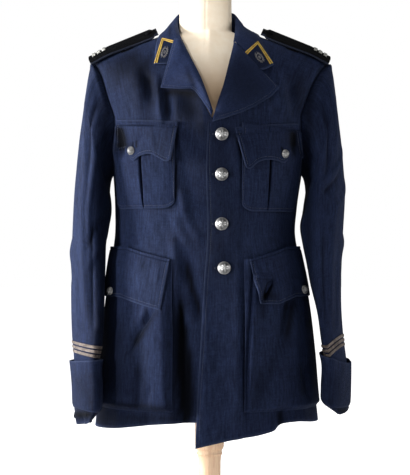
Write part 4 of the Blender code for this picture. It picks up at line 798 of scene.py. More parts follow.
def slubGroup():
    # uneven yarns: noise drawn out along the warp, and a weaker one along the weft: a mask round one half
    tree, ends, out = newGroup(
        "slub",
        [("Flat", "NodeSocketVector", None), ("Wide", "NodeSocketFloat", 300.0),
         ("Long", "NodeSocketFloat", 34.0)],
        [("Mask", "NodeSocketFloat")],
    )
    split = tree.nodes.new("ShaderNodeSeparateXYZ")
    tree.links.new(ends.outputs["Flat"], split.inputs[0])
    masks = []
    for first, second in (("Wide", "Long"), ("Long", "Wide")):
        join = tree.nodes.new("ShaderNodeCombineXYZ")
        tree.links.new(math2(tree, "MULTIPLY", split.outputs[0], ends.outputs[first]), join.inputs[0])
        tree.links.new(math2(tree, "MULTIPLY", split.outputs[1], ends.outputs[second]), join.inputs[1])
        masks.append(noiseNode(tree, join.outputs[0], 1.0, 3.0, 0.6))
    mixed = math2(tree, "MULTIPLY_ADD", masks[1], 0.25, math2(tree, "MULTIPLY", masks[0], 0.75))
    tree.links.new(rampNode(tree, mixed, 0.34, 0.66), out.inputs["Mask"])
    return tree


twillWeave, mottle, slub = twillGroup(), mottleGroup(), slubGroup()


def startMaterial(name, roughness, metallic=0.0):
    material = bpy.data.materials.new(name)
    material.use_nodes = True
    tree = material.node_tree
    shader = tree.nodes["Principled BSDF"]
    shader.inputs["Roughness"].default_value = roughness
    shader.inputs["Metallic"].default_value = metallic
    place = tree.nodes.new("ShaderNodeTexCoord")
    return material, tree, shader, place


def groupNode(tree, group, **values):
    node = tree.nodes.new("ShaderNodeGroup")
    node.node_tree = group
    for label, value in values.items():
        if isinstance(value, (int, float)):
            node.inputs[label].default_value = value
        else:
            tree.links.new(value, node.inputs[label])
    return node


def mottleMask(tree, place, large, small):
    node = groupNode(tree, mottle, Place=place.outputs["Object"], Large=large, Small=small)
    return node.outputs["Mask"]


def attributeValue(tree, label):
    node = tree.nodes.new("ShaderNodeAttribute")
    node.attribute_name = label
    return node.outputs["Fac"]


def addBump(tree, shader, height, distance, strength):
    node = tree.nodes.new("ShaderNodeBump")
    node.inputs["Distance"].default_value = distance
    node.inputs["Strength"].default_value = strength
    tree.links.new(height, node.inputs["Height"])
    tree.links.new(node.outputs["Normal"], shader.inputs["Normal"])


woolLook = {
    "dark": (0.0098, 0.015, 0.0405, 1),
    "light": (0.0152, 0.0238, 0.059, 1),
    "worn": (0.045, 0.06, 0.115, 1),
    "wornShare": 0.55,
    # near-black for the painted shade, and for the collar patches' darker dye
    "paintedShadeAndDyeColour": (0.001, 0.0016, 0.004, 1),
    "sheen": 0.03,
    "sheenTint": (0.34, 0.44, 0.72, 1),
    "pitch": 0.0012,
    "slub": 0.42,
    "grain": 0.3,
    "yarn": 0.35,
    "slubWide": 300.0,
    "slubLong": 34.0,
}


def woolMaterial(name, paintedLightGain=1.0, slope=1.6, slubShare=1.0):
    material, tree, shader, place = startMaterial(name, 0.88)
    weave = groupNode(tree, twillWeave, Flat=place.outputs["UV"], Pitch=woolLook["pitch"], Slope=slope)
    # above 1 the gain makes a lighter copy of the wool: painted light
    dark, light = (tuple(c * paintedLightGain for c in woolLook[k][:3]) + (1,) for k in ("dark", "light"))
    colour = mixColour(tree, mottleMask(tree, place, 14.0, 160.0), dark, light)
    streaks = groupNode(tree, slub, Flat=place.outputs["UV"], Wide=woolLook["slubWide"],
                        Long=woolLook["slubLong"])
    colour = mixColour(tree, woolLook["slub"] * slubShare, colour, streaks.outputs["Mask"], "OVERLAY")
    colour = mixColour(tree, woolLook["grain"], colour, mottleMask(tree, place, 420.0, 900.0), "OVERLAY")
    yarn = mixColour(tree, woolLook["yarn"], colour, weave.outputs["Shade"], "OVERLAY")
    worn = math2(tree, "MULTIPLY", attributeValue(tree, "edge"), woolLook["wornShare"])
    colour = mixColour(tree, worn, yarn, woolLook["worn"])
    # painted shade in the folds' hollows, the seams' ditches, the pockets' gaps and under edges, and the
    # darker dye of the collar patches
    colour = mixColour(tree, attributeValue(tree, "paintedShadeAndDye"), colour, woolLook["paintedShadeAndDyeColour"])
    tree.links.new(colour, shader.inputs["Base Color"])
    tree.links.new(rampNode(tree, weave.outputs["Shade"], -1.6, 1.6), shader.inputs["Roughness"])
    shader.inputs["Specular IOR Level"].default_value = 0.05
    shader.inputs["Sheen Weight"].default_value = woolLook["sheen"]
    shader.inputs["Sheen Roughness"].default_value = 0.45
    shader.inputs["Sheen Tint"].default_value = woolLook["sheenTint"]
    addBump(tree, shader, weave.outputs["Height"], 0.00012, 0.6)
    return material


navyWool = woolMaterial("navy wool")
# a copy of the wool 1.45 times lighter, painted light on the lapels, collar and patches, its twill turned the
# other way and with fewer slubs
litFaceWool = woolMaterial("navy wool of the lapels and collar painted lighter", 1.45, -1.6, 0.25)


def metalMaterial():
    # a mottled silvering, with tarnish left in the low parts of the relief
    material, tree, shader, place = startMaterial("silvered metal", 0.34, 0.92)
    patches = mottleMask(tree, place, 160.0, 900.0)
    colour = mixColour(tree, patches, (0.16, 0.157, 0.155, 1), (0.76, 0.755, 0.75, 1))
    colour = mixColour(tree, attributeValue(tree, "recess"), colour, (0.012, 0.011, 0.011, 1))
    tree.links.new(colour, shader.inputs["Base Color"])
    tree.links.new(rampNode(tree, patches, 2.6, -1.6), shader.inputs["Roughness"])
    addBump(tree, shader, patches, 0.0001, 0.5)
    return material


def threadMaterial():
    # plied sewing thread: fine slanting plies and a soft shine
    material, tree, shader, place = startMaterial("navy thread", 0.55)
    patches = mottleMask(tree, place, 120.0, 1500.0)
    colour = mixColour(tree, patches, (0.018, 0.025, 0.052, 1), (0.05, 0.064, 0.115, 1))
    tree.links.new(colour, shader.inputs["Base Color"])
    shader.inputs["Sheen Weight"].default_value = 0.1
    addBump(tree, shader, patches, 0.0001, 0.7)
    return material


def boardMaterial():
    # close black cloth over a stiff board, a little dusty on its worn edges
    material, tree, shader, place = startMaterial("black board cloth", 0.8)
    weave = groupNode(tree, twillWeave, Flat=place.outputs["UV"], Pitch=0.001, Slope=1.0)
    patches = mottleMask(tree, place, 40.0, 420.0)
    colour = mixColour(tree, patches, (0.0008, 0.0009, 0.0014, 1), (0.0026, 0.0029, 0.0044, 1))
    worn = math2(tree, "MULTIPLY", attributeValue(tree, "edge"), 0.6)
    colour = mixColour(tree, worn, colour, (0.045, 0.055, 0.09, 1))
    tree.links.new(colour, shader.inputs["Base Color"])
    tree.links.new(rampNode(tree, weave.outputs["Shade"], -1.2, 1.6), shader.inputs["Roughness"])
    shader.inputs["Specular IOR Level"].default_value = 0.05
    addBump(tree, shader, weave.outputs["Height"], 0.00012, 0.6)
    return material


def braidMaterial(name, dark, light, roughness, metallic, pitch=0.0009):
    # metal or silk thread: a mottle between two colours under a fine twill
    material, tree, shader, place = startMaterial(name, roughness, metallic)
    weave = groupNode(tree, twillWeave, Flat=place.outputs["UV"], Pitch=pitch, Slope=0.9)
    colour = mixColour(tree, mottleMask(tree, place, 90.0, 700.0), dark, light)
    colour = mixColour(tree, 0.45, colour, weave.outputs["Shade"], "OVERLAY")
    tree.links.new(colour, shader.inputs["Base Color"])
    addBump(tree, shader, weave.outputs["Height"], 0.00022, 0.8)
    return material


def jerseyMaterial():
    # fine knit: columns of stitches round the form, darker and warmer low inside the collar: painted shade
    material, tree, shader, place = startMaterial("white jersey", 0.82)
    weave = groupNode(tree, twillWeave, Flat=place.outputs["UV"], Pitch=0.0011, Slope=0.0)
    patches = mottleMask(tree, place, 7.0, 60.0)
    colour = mixColour(tree, patches, (0.86, 0.715, 0.53, 1), (0.94, 0.84, 0.69, 1))
    # painted shade: darker and warmer lower down
    colour = mixColour(tree, attributeValue(tree, "paintedShadeAndDye"), colour, (0.56, 0.385, 0.235, 1))
    tree.links.new(colour, shader.inputs["Base Color"])
    shader.inputs["Sheen Weight"].default_value = 0.15
    addBump(tree, shader, weave.outputs["Height"], 0.00008, 0.5)
    return material


def woodMaterial():
    # noise drawn out along the grain, and rings from its sine, under a clear varnish
    material, tree, shader, place = startMaterial("pale wood", 0.42)
    stretch = tree.nodes.new("ShaderNodeMapping")
    stretch.inputs["Scale"].default_value = (38.0, 38.0, 3.0)
    tree.links.new(place.outputs["Object"], stretch.inputs["Vector"])
    grain = noiseNode(tree, stretch.outputs["Vector"], 1.6, 6.0, 0.62)
    rings = math2(tree, "SINE", math2(tree, "MULTIPLY", grain, 46.0))
    mask = math2(tree, "MULTIPLY_ADD", rings, 0.3, 0.5)
    colour = mixColour(tree, mask, (0.8, 0.51, 0.32, 1), (0.97, 0.72, 0.5, 1))
    tree.links.new(colour, shader.inputs["Base Color"])
    tree.links.new(rampNode(tree, mask, -1.6, 2.6), shader.inputs["Roughness"])
    shader.inputs["Coat Weight"].default_value = 0.25
    addBump(tree, shader, mask, 0.0001, 0.4)
    return material


silveredMetal = metalMaterial()
silverBraid = braidMaterial("silver braid", (0.045, 0.03, 0.024, 1), (0.36, 0.3, 0.265, 1), 0.5, 0.5)
yellowBraid = braidMaterial("yellow braid", (0.46, 0.28, 0.035, 1), (0.78, 0.55, 0.1, 1), 0.6, 0.1)
greyThread = braidMaterial("grey embroidery", (0.08, 0.075, 0.078, 1), (0.23, 0.225, 0.23, 1), 0.5, 0.35,
                           0.0007)
boardCloth, navyThread = boardMaterial(), threadMaterial()
boardSilver = braidMaterial("board silver", (0.3, 0.3, 0.28, 1), (0.72, 0.72, 0.68, 1), 0.5, 0.5)
whiteJersey, paleWood = jerseyMaterial(), woodMaterial()
print("materials made")

# fronts and backs
panelGridSize = {"neckColumns": 30, "bodyColumns": 46, "sideColumns": 22, "low": 64, "mid": 44, "high": 36}
panelFacts = {
    "squeezeFrom": 0.635, "underlap": -0.045, "spreadFront": 1.35, "spreadBack": 1.2, "armholeDitch": 0.005,
    "weltIn": 0.0065, "weltDeep": 0.0004, "weltWide": 0.0012, "lapelFoot": 0.795, "edgeWidth": 0.002,
    "frontEdgeWidth": 0.0016, "backSeamDeep": 0.0014, "backSeamWide": 0.0026,
    "backHem": {"right": 0.246, "left": 0.2565},
}


def levelRows():
    # the panels' rows in three stretches: hem to waist, waist to armhole, armhole to the ridge
    ridge, hole = bodySize["ridge"], bodySize["armholeLevel"]
    low = np.linspace(0, 1, panelGridSize["low"], endpoint=False)  # shares from the hem to the waist
    mid = np.linspace(bodySize["waist"], hole, panelGridSize["mid"] + 1)
    t = np.linspace(0, 1, panelGridSize["high"] + 1)[1:]
    high = np.minimum(ridge - (ridge - hole) * (1 - t) ** 2.0, ridge - 1e-7)  # closer together at the ridge
    return low, mid, high


def armholeTop(angle):
    # the armhole's lower rim dips in a quarter of a sine from its front edge down to the armpit
    hole = bodySize["armholeAngle"]
    share = np.clip((angle - hole) / (90 - hole), 0, 1)
    rise = (1 - np.sin(share * math.pi / 2)) ** 0.9
    return bodySize["armpit"] + (bodySize["armholeLevel"] - bodySize["armpit"]) * rise


def sideAngle(x, level, sign):
    return np.degrees(sign * angleAt(sign * x, level))


def panelGrid(sign, edgeTable, lowEdge, hem, spread):
    # angles (degrees towards the panel's own side) and levels; columns fan out from the neck to the hem
    ridge, hole = bodySize["ridge"], bodySize["armholeAngle"]
    count = len(edgeTable["x"])
    table = {"n": list(range(count)), **edgeTable}
    at = np.linspace(0, count - 1, panelGridSize["neckColumns"])
    xNeck, zNeck = curve(table, "n", "x", at), curve(table, "n", "z", at)
    topLevel = np.minimum(levelAt(sign * xNeck, zNeck), ridge - 1e-7)
    topAngle = sideAngle(xNeck, topLevel, sign)
    lowAngle = sideAngle(xNeck * spread, bodySize["waist"], sign)
    share = np.linspace(0, 1, panelGridSize["bodyColumns"] + 1)[1:]
    under = np.linspace(hole, 90, panelGridSize["sideColumns"] + 1)[1:]
    neck = (topAngle[-1], topLevel[-1], lowAngle[-1])
    topAngle = np.concatenate([topAngle, neck[0] + (hole - neck[0]) * share, under])
    topLevel = np.concatenate([topLevel, np.full(len(share), neck[1]), armholeTop(under)])
    lowAngle = np.concatenate([lowAngle, neck[2] + (hole - neck[2]) * share, under])
    low, mid, high = levelRows()
    reach = np.sin(np.radians(np.maximum(lowAngle, 0))) ** (2 / bodySize["square"])
    width = bodyWidth(np.full(len(lowAngle), sign), 0.25) * reach
    width[0] = lowEdge(0.22)
    foot = hem(width)[:, None]
    upper = np.tile(np.concatenate([mid, high]), (len(foot), 1))
    level = np.concatenate([foot + low * (bodySize["waist"] - foot), upper], 1)
    top, lowA = topLevel[:, None], lowAngle[:, None]
    isSide = lowA > hole + 1e-6
    base = panelFacts["squeezeFrom"]
    squeeze = (top - base) / (np.where(isSide, bodySize["armholeLevel"], ridge) - base)
    squeezed = np.where(level > base, base + (level - base) * squeeze, level)
    level = np.where(isSide, squeezed, level + (squeezed - level) * smooth(hole, neck[2], lowA))
    angle = lowA + (topAngle[:, None] - lowA) * smooth(0.62, top, level)
    angle[0] = sideAngle(lowEdge(level[0]), level[0], sign)
    # finer columns by the edge
    rim = np.array([0.05, 0.1, 0.16, 0.23, 0.31, 0.39, 0.47, 0.55, 0.65, 0.8])[:, None]
    angle, level = (np.concatenate([g[:1], g[:1] + (g[1:2] - g[:1]) * rim, g[1:]]) for g in (angle, level))
    keep = np.ones((level.shape[0] - 1, level.shape[1] - 1), bool)
    keep[-panelGridSize["sideColumns"] :, panelGridSize["low"] + panelGridSize["mid"] :] = False
    return angle, level, keep


def armholeEdge(side):
    # the points of the panels' armhole edge, from the shoulder down the front and up the back
    sign, hole = sides[side], bodySize["armholeAngle"]
    under = np.linspace(hole, 90, panelGridSize["sideColumns"] + 1)
    high = levelRows()[2]
    levels = np.concatenate([high[::-1], [bodySize["armholeLevel"]], armholeTop(under[1:])])
    angles = np.radians(np.concatenate([np.full(len(high), hole), under]))
    front, back = clothPoint(sign * angles, levels), clothPoint(math.pi - sign * angles, levels)
    steps = pathLengths(front)
    phase = steps / steps[-1] * math.pi
    ring = np.concatenate([front, back[-2:0:-1]])
    phase = np.concatenate([phase, 2 * math.pi - phase[-2:0:-1]])
    ahead, behind = bodyNormal(sign * angles, levels), bodyNormal(math.pi - sign * angles, levels)
    return ring, phase, np.concatenate([ahead, behind[-2:0:-1]])


def nearArmhole(points, side):
    # distance of each point from the armhole's edge
    ring = armholeEdge(side)[0]
    return np.sqrt(((points[:, :, None, :] - ring[None, None]) ** 2).sum(-1).min(-1))


def frontPanel(side):
    # the body's front from its edge round to the side seam: folds, the armhole's ditch and a stitched welt
    sign, facts = sides[side], panelFacts
    if sign > 0:
        edge, hemTable = lambda level: curve(frontEdge, "z", "x", level), hemLeft
    else:
        edge, hemTable = lambda level: np.full(np.shape(level), facts["underlap"]), hemRight
    table = neckEdge["frontLeft" if sign > 0 else "frontRight"]
    angle, level, keep = panelGrid(sign, table, edge, lambda x: curve(hemTable, "x", "z", x),
                                   facts["spreadFront"])
    angle = np.radians(angle) * sign
    where = bodyPoint(angle, level)
    lift = frontLift(where[..., 0], where[..., 2]) if sign > 0 else 0.0
    points = clothPoint(angle, level, lift)
    seam = bump(nearArmhole(points, side), facts["armholeDitch"])
    ditch = bodySize["armholeSink"] * seam
    if sign > 0:  # the seam allowance inside the front edge makes a low welt, with a ditch at its stitching
        run = arcLengths(points, 0)
        welt = bump(run - facts["weltIn"], facts["weltWide"]) * smooth(0.83, 0.8, where[..., 2])
        ditch = ditch + facts["weltDeep"] * welt
    points = clothPoint(angle, level, lift - ditch)
    # painted shade in the folds' valleys and along the armhole's ditch
    paintedShadeAndDye = np.maximum(smooth(-0.003, -0.013, foldDepth(angle, level)), 0.8 * seam)
    if sign > 0:
        low = points[:, where[0, :, 2] < facts["lapelFoot"]]
        sewEdges("left", low, "l", facts["weltIn"])
    points[-1, :, 1] -= bodySize["seam"] / 2
    points[..., 1] -= np.where(level > bodySize["ridge"] - 1e-5, bodySize["seam"], 0)
    mark = bump(arcLengths(points, 1), facts["edgeWidth"])
    if sign > 0:
        mark = np.maximum(mark, bump(arcLengths(points, 0), facts["frontEdgeWidth"]))
    if sign < 0:
        points, keep, mark, paintedShadeAndDye = points[::-1], keep[::-1], mark[::-1], paintedShadeAndDye[::-1]
    return clothPiece(f"front_panel_{side}", points, navyWool, [f"front_{side}"], keep=keep, edge=mark,
                      paintedShadeAndDye=paintedShadeAndDye)


def backPanel(side):
    # the body's back from the sunk centre seam round to the side seam, over a level hem
    sign, facts = sides[side], panelFacts
    angle, level, keep = panelGrid(
        sign, neckEdge["back"], lambda v: np.zeros(np.shape(v)),
        lambda x: np.full(np.shape(x), facts["backHem"][side]), facts["spreadBack"]
    )
    around = math.pi - sign * np.radians(angle)
    points = clothPoint(around, level)
    run = arcLengths(points, 0)
    seam = bump(nearArmhole(points, side), facts["armholeDitch"])
    ditch = facts["backSeamDeep"] * bump(run, facts["backSeamWide"]) + bodySize["armholeSink"] * seam
    points = clothPoint(around, level, -ditch)
    # painted shade along the armhole's ditch and the sunk centre seam, and in the folds' valleys
    sunk = np.maximum(0.8 * seam, 0.5 * bump(run, 0.0014))
    paintedShadeAndDye = np.maximum(smooth(-0.003, -0.013, foldDepth(around, level)), sunk)
    points[0, :, 0] = sign * bodySize["seam"] / 2
    points[-1, :, 1] += bodySize["seam"] / 2
    points[..., 1] += np.where(level > bodySize["ridge"] - 1e-5, bodySize["seam"], 0)
    mark = bump(arcLengths(points, 1), facts["edgeWidth"])
    if sign > 0:
        points, keep, mark, paintedShadeAndDye = points[::-1], keep[::-1], mark[::-1], paintedShadeAndDye[::-1]
    return clothPiece(f"back_panel_{side}", points, navyWool, [f"back_{side}"], keep=keep, edge=mark,
                      paintedShadeAndDye=paintedShadeAndDye)


for eachSide in sides:
    frontPanel(eachSide)
    backPanel(eachSide)
print("fronts and backs made")

# sleeves and cuffs
sleeveRight = {
    "outerX": [0.229, 0.232, 0.235, 0.2395, 0.245, 0.251, 0.256, 0.259, 0.2605, 0.26, 0.2575, 0.2535, 0.252,
               0.2515, 0.249],
    "outerZ": [0.92, 0.902, 0.865, 0.823, 0.78, 0.735, 0.68, 0.61, 0.55, 0.48, 0.42, 0.375, 0.33, 0.285,
               0.259],
    "innerX": [0.188, 0.191, 0.1905, 0.187, 0.1865, 0.19, 0.1945, 0.1945, 0.1942, 0.1945, 0.1962, 0.2045,
               0.201, 0.2, 0.212],
    "innerZ": [0.713, 0.7, 0.684, 0.666, 0.645, 0.62, 0.59, 0.55, 0.51, 0.46, 0.408, 0.368, 0.326, 0.291,
               0.276],
    "y": [0.0, 0.0, 0.0, -0.002, -0.005, -0.01, -0.017, -0.029, -0.041, -0.054, -0.065, -0.073, -0.079,
          -0.084, -0.086],
    "deep": [0.064, 0.069, 0.073, 0.076, 0.077, 0.077, 0.076, 0.074, 0.072, 0.069, 0.064, 0.058, 0.056,
             0.055, 0.05],
    "turn": [0, 0, 0, 2, 3, 5, 7, 10, 13, 15, 17, 18, 18, 18, 18],
}
sleeveLeft = {
    "outerX": [0.235, 0.2375, 0.239, 0.244, 0.249, 0.253, 0.256, 0.252, 0.249, 0.248, 0.251, 0.256, 0.259,
               0.259, 0.2585],
    "outerZ": [0.918, 0.9, 0.865, 0.823, 0.78, 0.735, 0.68, 0.61, 0.55, 0.48, 0.42, 0.375, 0.33, 0.292,
               0.2775],
    "innerX": [0.181, 0.184, 0.1835, 0.18, 0.1765, 0.1715, 0.175, 0.182, 0.188, 0.1985, 0.205, 0.212, 0.208,
               0.208, 0.229],
    "innerZ": [0.713, 0.7, 0.684, 0.666, 0.645, 0.62, 0.59, 0.55, 0.51, 0.46, 0.408, 0.368, 0.326, 0.302,
               0.29],
    "y": [0.0, 0.0, 0.0, -0.002, -0.005, -0.01, -0.016, -0.026, -0.037, -0.049, -0.058, -0.066, -0.072,
          -0.078, -0.082],
    "deep": [0.064, 0.069, 0.073, 0.076, 0.077, 0.077, 0.076, 0.074, 0.072, 0.068, 0.062, 0.057, 0.055,
             0.055, 0.05],
    "turn": [0, 0, 0, 2, 3, 5, 7, 9, 11, 13, 15, 17, 18, 18, 18],
}
cuffFacts = {
    "right": {"top": 0.3745, "bottom": 0.2865, "tiltTop": 0.004, "tiltBottom": 0.0, "near": 0.0031,
              "flare": 0.005},
    "left": {"top": 0.379, "bottom": 0.295, "tiltTop": 0.021, "tiltBottom": 0.014, "near": 0.0031,
             "flare": 0.005},
}
sleeveGrid = {
    "ringsEach": 10, "blend": {"start": 0.3, "step": 0.35}, "armholeGap": 0.0014, "creaseGain": 1.6,
    "seams": (128, 318), "seamDeep": 0.0007, "seamWidth": 0.0011, "radius": 0.058, "headRise": 0.003,
    "tuckIn": 0.0016, "tuckSide": 0.0014,
}
# creases of a sleeve: degrees round it (0 outside, 90 in front, 180 inside, 270 behind) and height, twice,
# then half width, rise, bow and lean
sleeveCreases = {
    "right": [
        (40, 0.9, 55, 0.74, 0.01, 0.0024, 0.004, 0.3),
        (75, 0.88, 70, 0.7, 0.009, -0.0022, 0.004, 0.2),
        (105, 0.82, 80, 0.64, 0.009, 0.0024, 0.004, 0.3),
        (20, 0.82, 30, 0.64, 0.012, 0.002, -0.005, 0.3),
        (60, 0.69, 62, 0.47, 0.011, 0.0026, 0.004, 0.3),
        (95, 0.62, 85, 0.44, 0.01, -0.0024, 0.004, 0.2),
        (120, 0.56, 110, 0.4, 0.009, 0.0022, 0.004, 0.3),
        (30, 0.56, 35, 0.4, 0.01, 0.0018, 0.004, 0.2),
        (150, 0.64, 60, 0.57, 0.008, -0.002, 0.006, 0.4),
        (160, 0.6, 70, 0.545, 0.008, 0.002, 0.006, 0.4),
        (300, 0.64, 350, 0.56, 0.01, 0.0026, 0.006, 0.3),
        (290, 0.59, 340, 0.53, 0.009, -0.0022, 0.006, 0.3),
        (250, 0.82, 245, 0.62, 0.012, 0.0026, 0.005, 0.2),
        (280, 0.5, 285, 0.4, 0.01, 0.002, 0.004, 0.2),
        (220, 0.62, 200, 0.52, 0.009, 0.0022, 0.005, 0.2),
    ],
    "left": [
        (45, 0.895, 50, 0.76, 0.01, 0.0024, 0.004, 0.3),
        (75, 0.86, 82, 0.7, 0.009, -0.0024, 0.004, 0.2),
        (110, 0.8, 95, 0.64, 0.01, 0.0026, 0.004, 0.3),
        (20, 0.76, 100, 0.7, 0.008, 0.0026, 0.006, 0.4),
        (25, 0.735, 95, 0.68, 0.008, -0.0024, 0.006, 0.4),
        (10, 0.7, 70, 0.65, 0.009, 0.0022, 0.006, 0.4),
        (55, 0.66, 60, 0.47, 0.011, 0.0026, -0.004, 0.3),
        (90, 0.62, 92, 0.44, 0.01, -0.0024, 0.004, 0.2),
        (125, 0.58, 115, 0.41, 0.009, 0.0022, 0.004, 0.3),
        (25, 0.56, 35, 0.4, 0.01, 0.002, 0.004, 0.2),
        (300, 0.65, 350, 0.58, 0.01, 0.0026, 0.006, 0.3),
        (285, 0.6, 335, 0.54, 0.009, -0.0022, 0.006, 0.3),
        (250, 0.81, 240, 0.62, 0.012, 0.0026, 0.005, 0.2),
        (275, 0.5, 280, 0.4, 0.01, 0.002, 0.004, 0.2),
        (215, 0.61, 195, 0.52, 0.009, 0.0022, 0.005, 0.2),
    ],
}


def armholeRing(side):
    # the sleeve's first ring: the armhole's edge sunk with its ditch, and a little clear of it
    ring, phase, way = armholeEdge(side)
    ring = ring - way * bodySize["armholeSink"]
    low = smooth(0.8, 0.72, ring[:, 2])
    ring[:, 0] += sides[side] * (sleeveGrid["armholeGap"] + 0.0008 * low)
    ring[:, 2] += 0.003 * low
    return ring, phase


def sleeveRings(side):
    # oval rings from the table, turned towards the front; the first ones are blended with the armhole's edge
    start, first = armholeRing(side)
    table, blend = sleeveLeft if side == "left" else sleeveRight, sleeveGrid["blend"]
    count = len(table["outerX"])
    table = {"n": list(range(count)), **table}
    even = ringTurns(len(first))
    lead = np.linspace(-blend["start"] / blend["step"], 0, 12, endpoint=False)
    i = np.concatenate([lead, np.arange(0, count - 1 + 1e-9, 1 / sleeveGrid["ringsEach"])])
    phase = first + (even - first) * smooth(0, 5, i)[:, None]
    row = {k: curve(table, "n", k, i)[:, None] for k in table if k != "n"}
    turn = np.radians(row["turn"])
    lean = row["deep"] * np.sin(turn)
    wide = (row["outerX"] - row["innerX"]) / 2
    across = np.sqrt(np.maximum(wide**2 - lean**2, (0.35 * wide) ** 2))
    x = (row["outerX"] + row["innerX"]) / 2 + across * np.cos(phase) - lean * np.sin(phase)
    z = (row["outerZ"] + row["innerZ"]) / 2 + (row["outerZ"] - row["innerZ"]) / 2 * np.cos(phase)
    y = row["y"] - row["deep"] * np.cos(turn) * np.sin(phase)
    rings = np.stack([sides[side] * x, y, z], -1)
    share = np.minimum(1.0, blend["start"] + blend["step"] * i)[:, None, None]
    return (1 - share) * start + share * rings, phase, i


def sleeve(side):
    # the rings with creases, eased head, long seams and crumpled mouth added along their way out
    facts = sleeveGrid
    rings, phase, i = sleeveRings(side)
    points = rings.transpose(1, 0, 2)
    phase = phase.T
    normal = gridNormals(points, closed=True)
    middle = points.mean(0, keepdims=True)
    normal *= np.sign(np.sum(normal * (points - middle), -1).mean())
    radius = facts["radius"]
    total = np.zeros(points.shape[:2])
    rows = [
        (math.radians(turn1) * radius, z1, math.radians(turn2) * radius, z2, *others)
        for turn1, z1, turn2, z2, *others in sleeveCreases[side]
    ]
    for turn in (-1, 0, 1):  # creases that cross the outer side's line, where the angle starts again
        flat = np.stack([(phase + turn * 2 * math.pi) * radius, points[..., 2]], -1)
        total += foldHeight(flat, rows)
    total *= smooth(-0.4, 1.5, i)[None, :] * facts["creaseGain"]
    head = facts["headRise"] * bump(i[None, :] - 0.1, 0.5) * (0.35 + 0.65 * smooth(0.8, 0.9, points[..., 2]))
    seams = sum(bump((phase - math.radians(turn)) * radius, facts["seamWidth"]) for turn in facts["seams"])
    total = total - facts["seamDeep"] * seams
    waves = 0.003 * np.sin(5 * phase + 1.1) + 0.002 * np.sin(9 * phase)
    crumple = smooth(0.288, 0.266, points[..., 2]) * waves
    hidden = smooth(0.44, 0.424, points[..., 2])  # flat under the stripes and the cuff
    points = points + normal * (total * (1 - hidden) + head + crumple)[..., None]
    tuck = points[:, :1] - normal[:, :1] * facts["tuckIn"]  # the seam's allowance turns in
    tuck[..., 0] -= sides[side] * facts["tuckSide"]
    points = np.concatenate([tuck, points], 1)
    mark = bump(lengthsToEnd(points), 0.003)
    # painted shade at the armhole's seam and in the creases' valleys
    start = 0.8 * bump(arcLengths(points, 1), 0.0045)
    deep = smooth(-0.0012, -0.006, total * (1 - hidden))
    paintedShadeAndDye = np.maximum(start, np.concatenate([deep[:, :1], deep], 1))
    return clothPiece(f"sleeve_cloth_{side}", points, navyWool, [f"sleeve_{side}"], closed=True, edge=mark,
                      paintedShadeAndDye=paintedShadeAndDye)


def sleeveSkin(side, phase, z, lift):
    # points on the sleeve's lower part at a phase and height, moved out level by lift
    rings, _, i = sleeveRings(side)
    rings = rings[i >= 7]
    count = rings.shape[1]
    z, phase, lift = np.broadcast_arrays(z, phase, lift)
    xs, ys = np.empty((count, z.size)), np.empty((count, z.size))
    for column in range(count):  # one line of the sleeve at a time, read at every wanted height
        line = rings[::-1, column]
        xs[column], ys[column] = (np.interp(z.ravel(), line[:, 2], line[:, k]) for k in (0, 1))
    part = (phase.ravel() / (2 * math.pi) * count) % count
    low = np.floor(part).astype(int) % count
    high, part, at = (low + 1) % count, part - np.floor(part), np.arange(z.size)
    near, far = np.stack([xs[low, at], ys[low, at]], -1), np.stack([xs[high, at], ys[high, at]], -1)
    along = far - near
    out = np.stack([-along[:, 1], along[:, 0]], -1) / np.linalg.norm(along, axis=1, keepdims=True)
    flat = near * (1 - part[:, None]) + far * part[:, None] + out * sides[side] * lift.ravel()[:, None]
    return np.concatenate([flat, z.reshape(-1, 1)], 1).reshape(*z.shape, 3)


def cuff(side):
    # turned back: close to the sleeve at its lower edge, standing off at its top, slightly buckled
    facts = cuffFacts[side]
    phase = ringTurns(120)[:, None]
    share = np.linspace(0, 1, 30)[None, :]
    tilt = facts["tiltBottom"] + share * (facts["tiltTop"] - facts["tiltBottom"])
    z = facts["bottom"] + share * (facts["top"] - facts["bottom"]) - tilt / 2 * np.cos(phase)
    z = z + 0.0016 * np.sin(2 * phase + 0.8) * (1 - share) + 0.004 * np.sin(phase) * share
    buckle = 0.001 * np.sin(3 * phase + 2.2 * share) * share + 0.0006 * np.sin(7 * phase + 4 * share) * share
    turned = 0.0016 * smooth(0.06, 0.0, share)
    points = sleeveSkin(side, phase + 0 * share, z, facts["near"] + facts["flare"] * share + buckle - turned)
    if sides[side] < 0:
        points = points[::-1]
    mark = edgeMark(points, 0.0018, closed=True)
    return clothPiece(f"cuff_cloth_{side}", points, navyWool, [f"cuff_{side}"], closed=True, edge=mark)


stripeFacts = {"count": 3, "width": 0.005, "pitch": 0.008, "thick": 0.001, "start": 0.386, "ribs": 3,
               "clear": 0.0012, "riseLeft": 0.016, "riseRight": 0.004}


def sleeveStripes(side):
    # flat rank braid with rounded ribs, bent over the sleeve's outer half
    sign = sides[side]
    facts = stripeFacts
    phase = np.linspace(-1, 8, 90)[:, None] / 22 * 2 * math.pi
    share = np.linspace(-0.5, 0.5, 13)[None, :]
    for n in range(facts["count"]):
        cosine = np.cos(phase)
        rise = facts["riseLeft"] * np.maximum(0, cosine) if sign > 0 else facts["riseRight"] * cosine
        z = facts["start"] + n * facts["pitch"] + rise + share * facts["width"]
        ribs = 0.0002 * np.cos(2 * math.pi * facts["ribs"] * share) - 0.0004 * (2 * share) ** 6
        lift = bodySize["cloth"] / 2 + facts["thick"] / 2 + facts["clear"] + ribs
        points = sleeveSkin(side, phase + 0 * share, z, lift + 0 * phase)
        if sign < 0:
            points = points[::-1]
        clothPiece(f"rank_braid_{side}_{n + 1}", points, silverBraid, [f"sleeve_stripe_{side}_{n + 1}"],
                   thick=facts["thick"], slotName="silver_braid", trim=True)


for eachSide in sides:
    sleeve(eachSide)
    cuff(eachSide)
    sleeveStripes(eachSide)
print("sleeves and cuffs made")

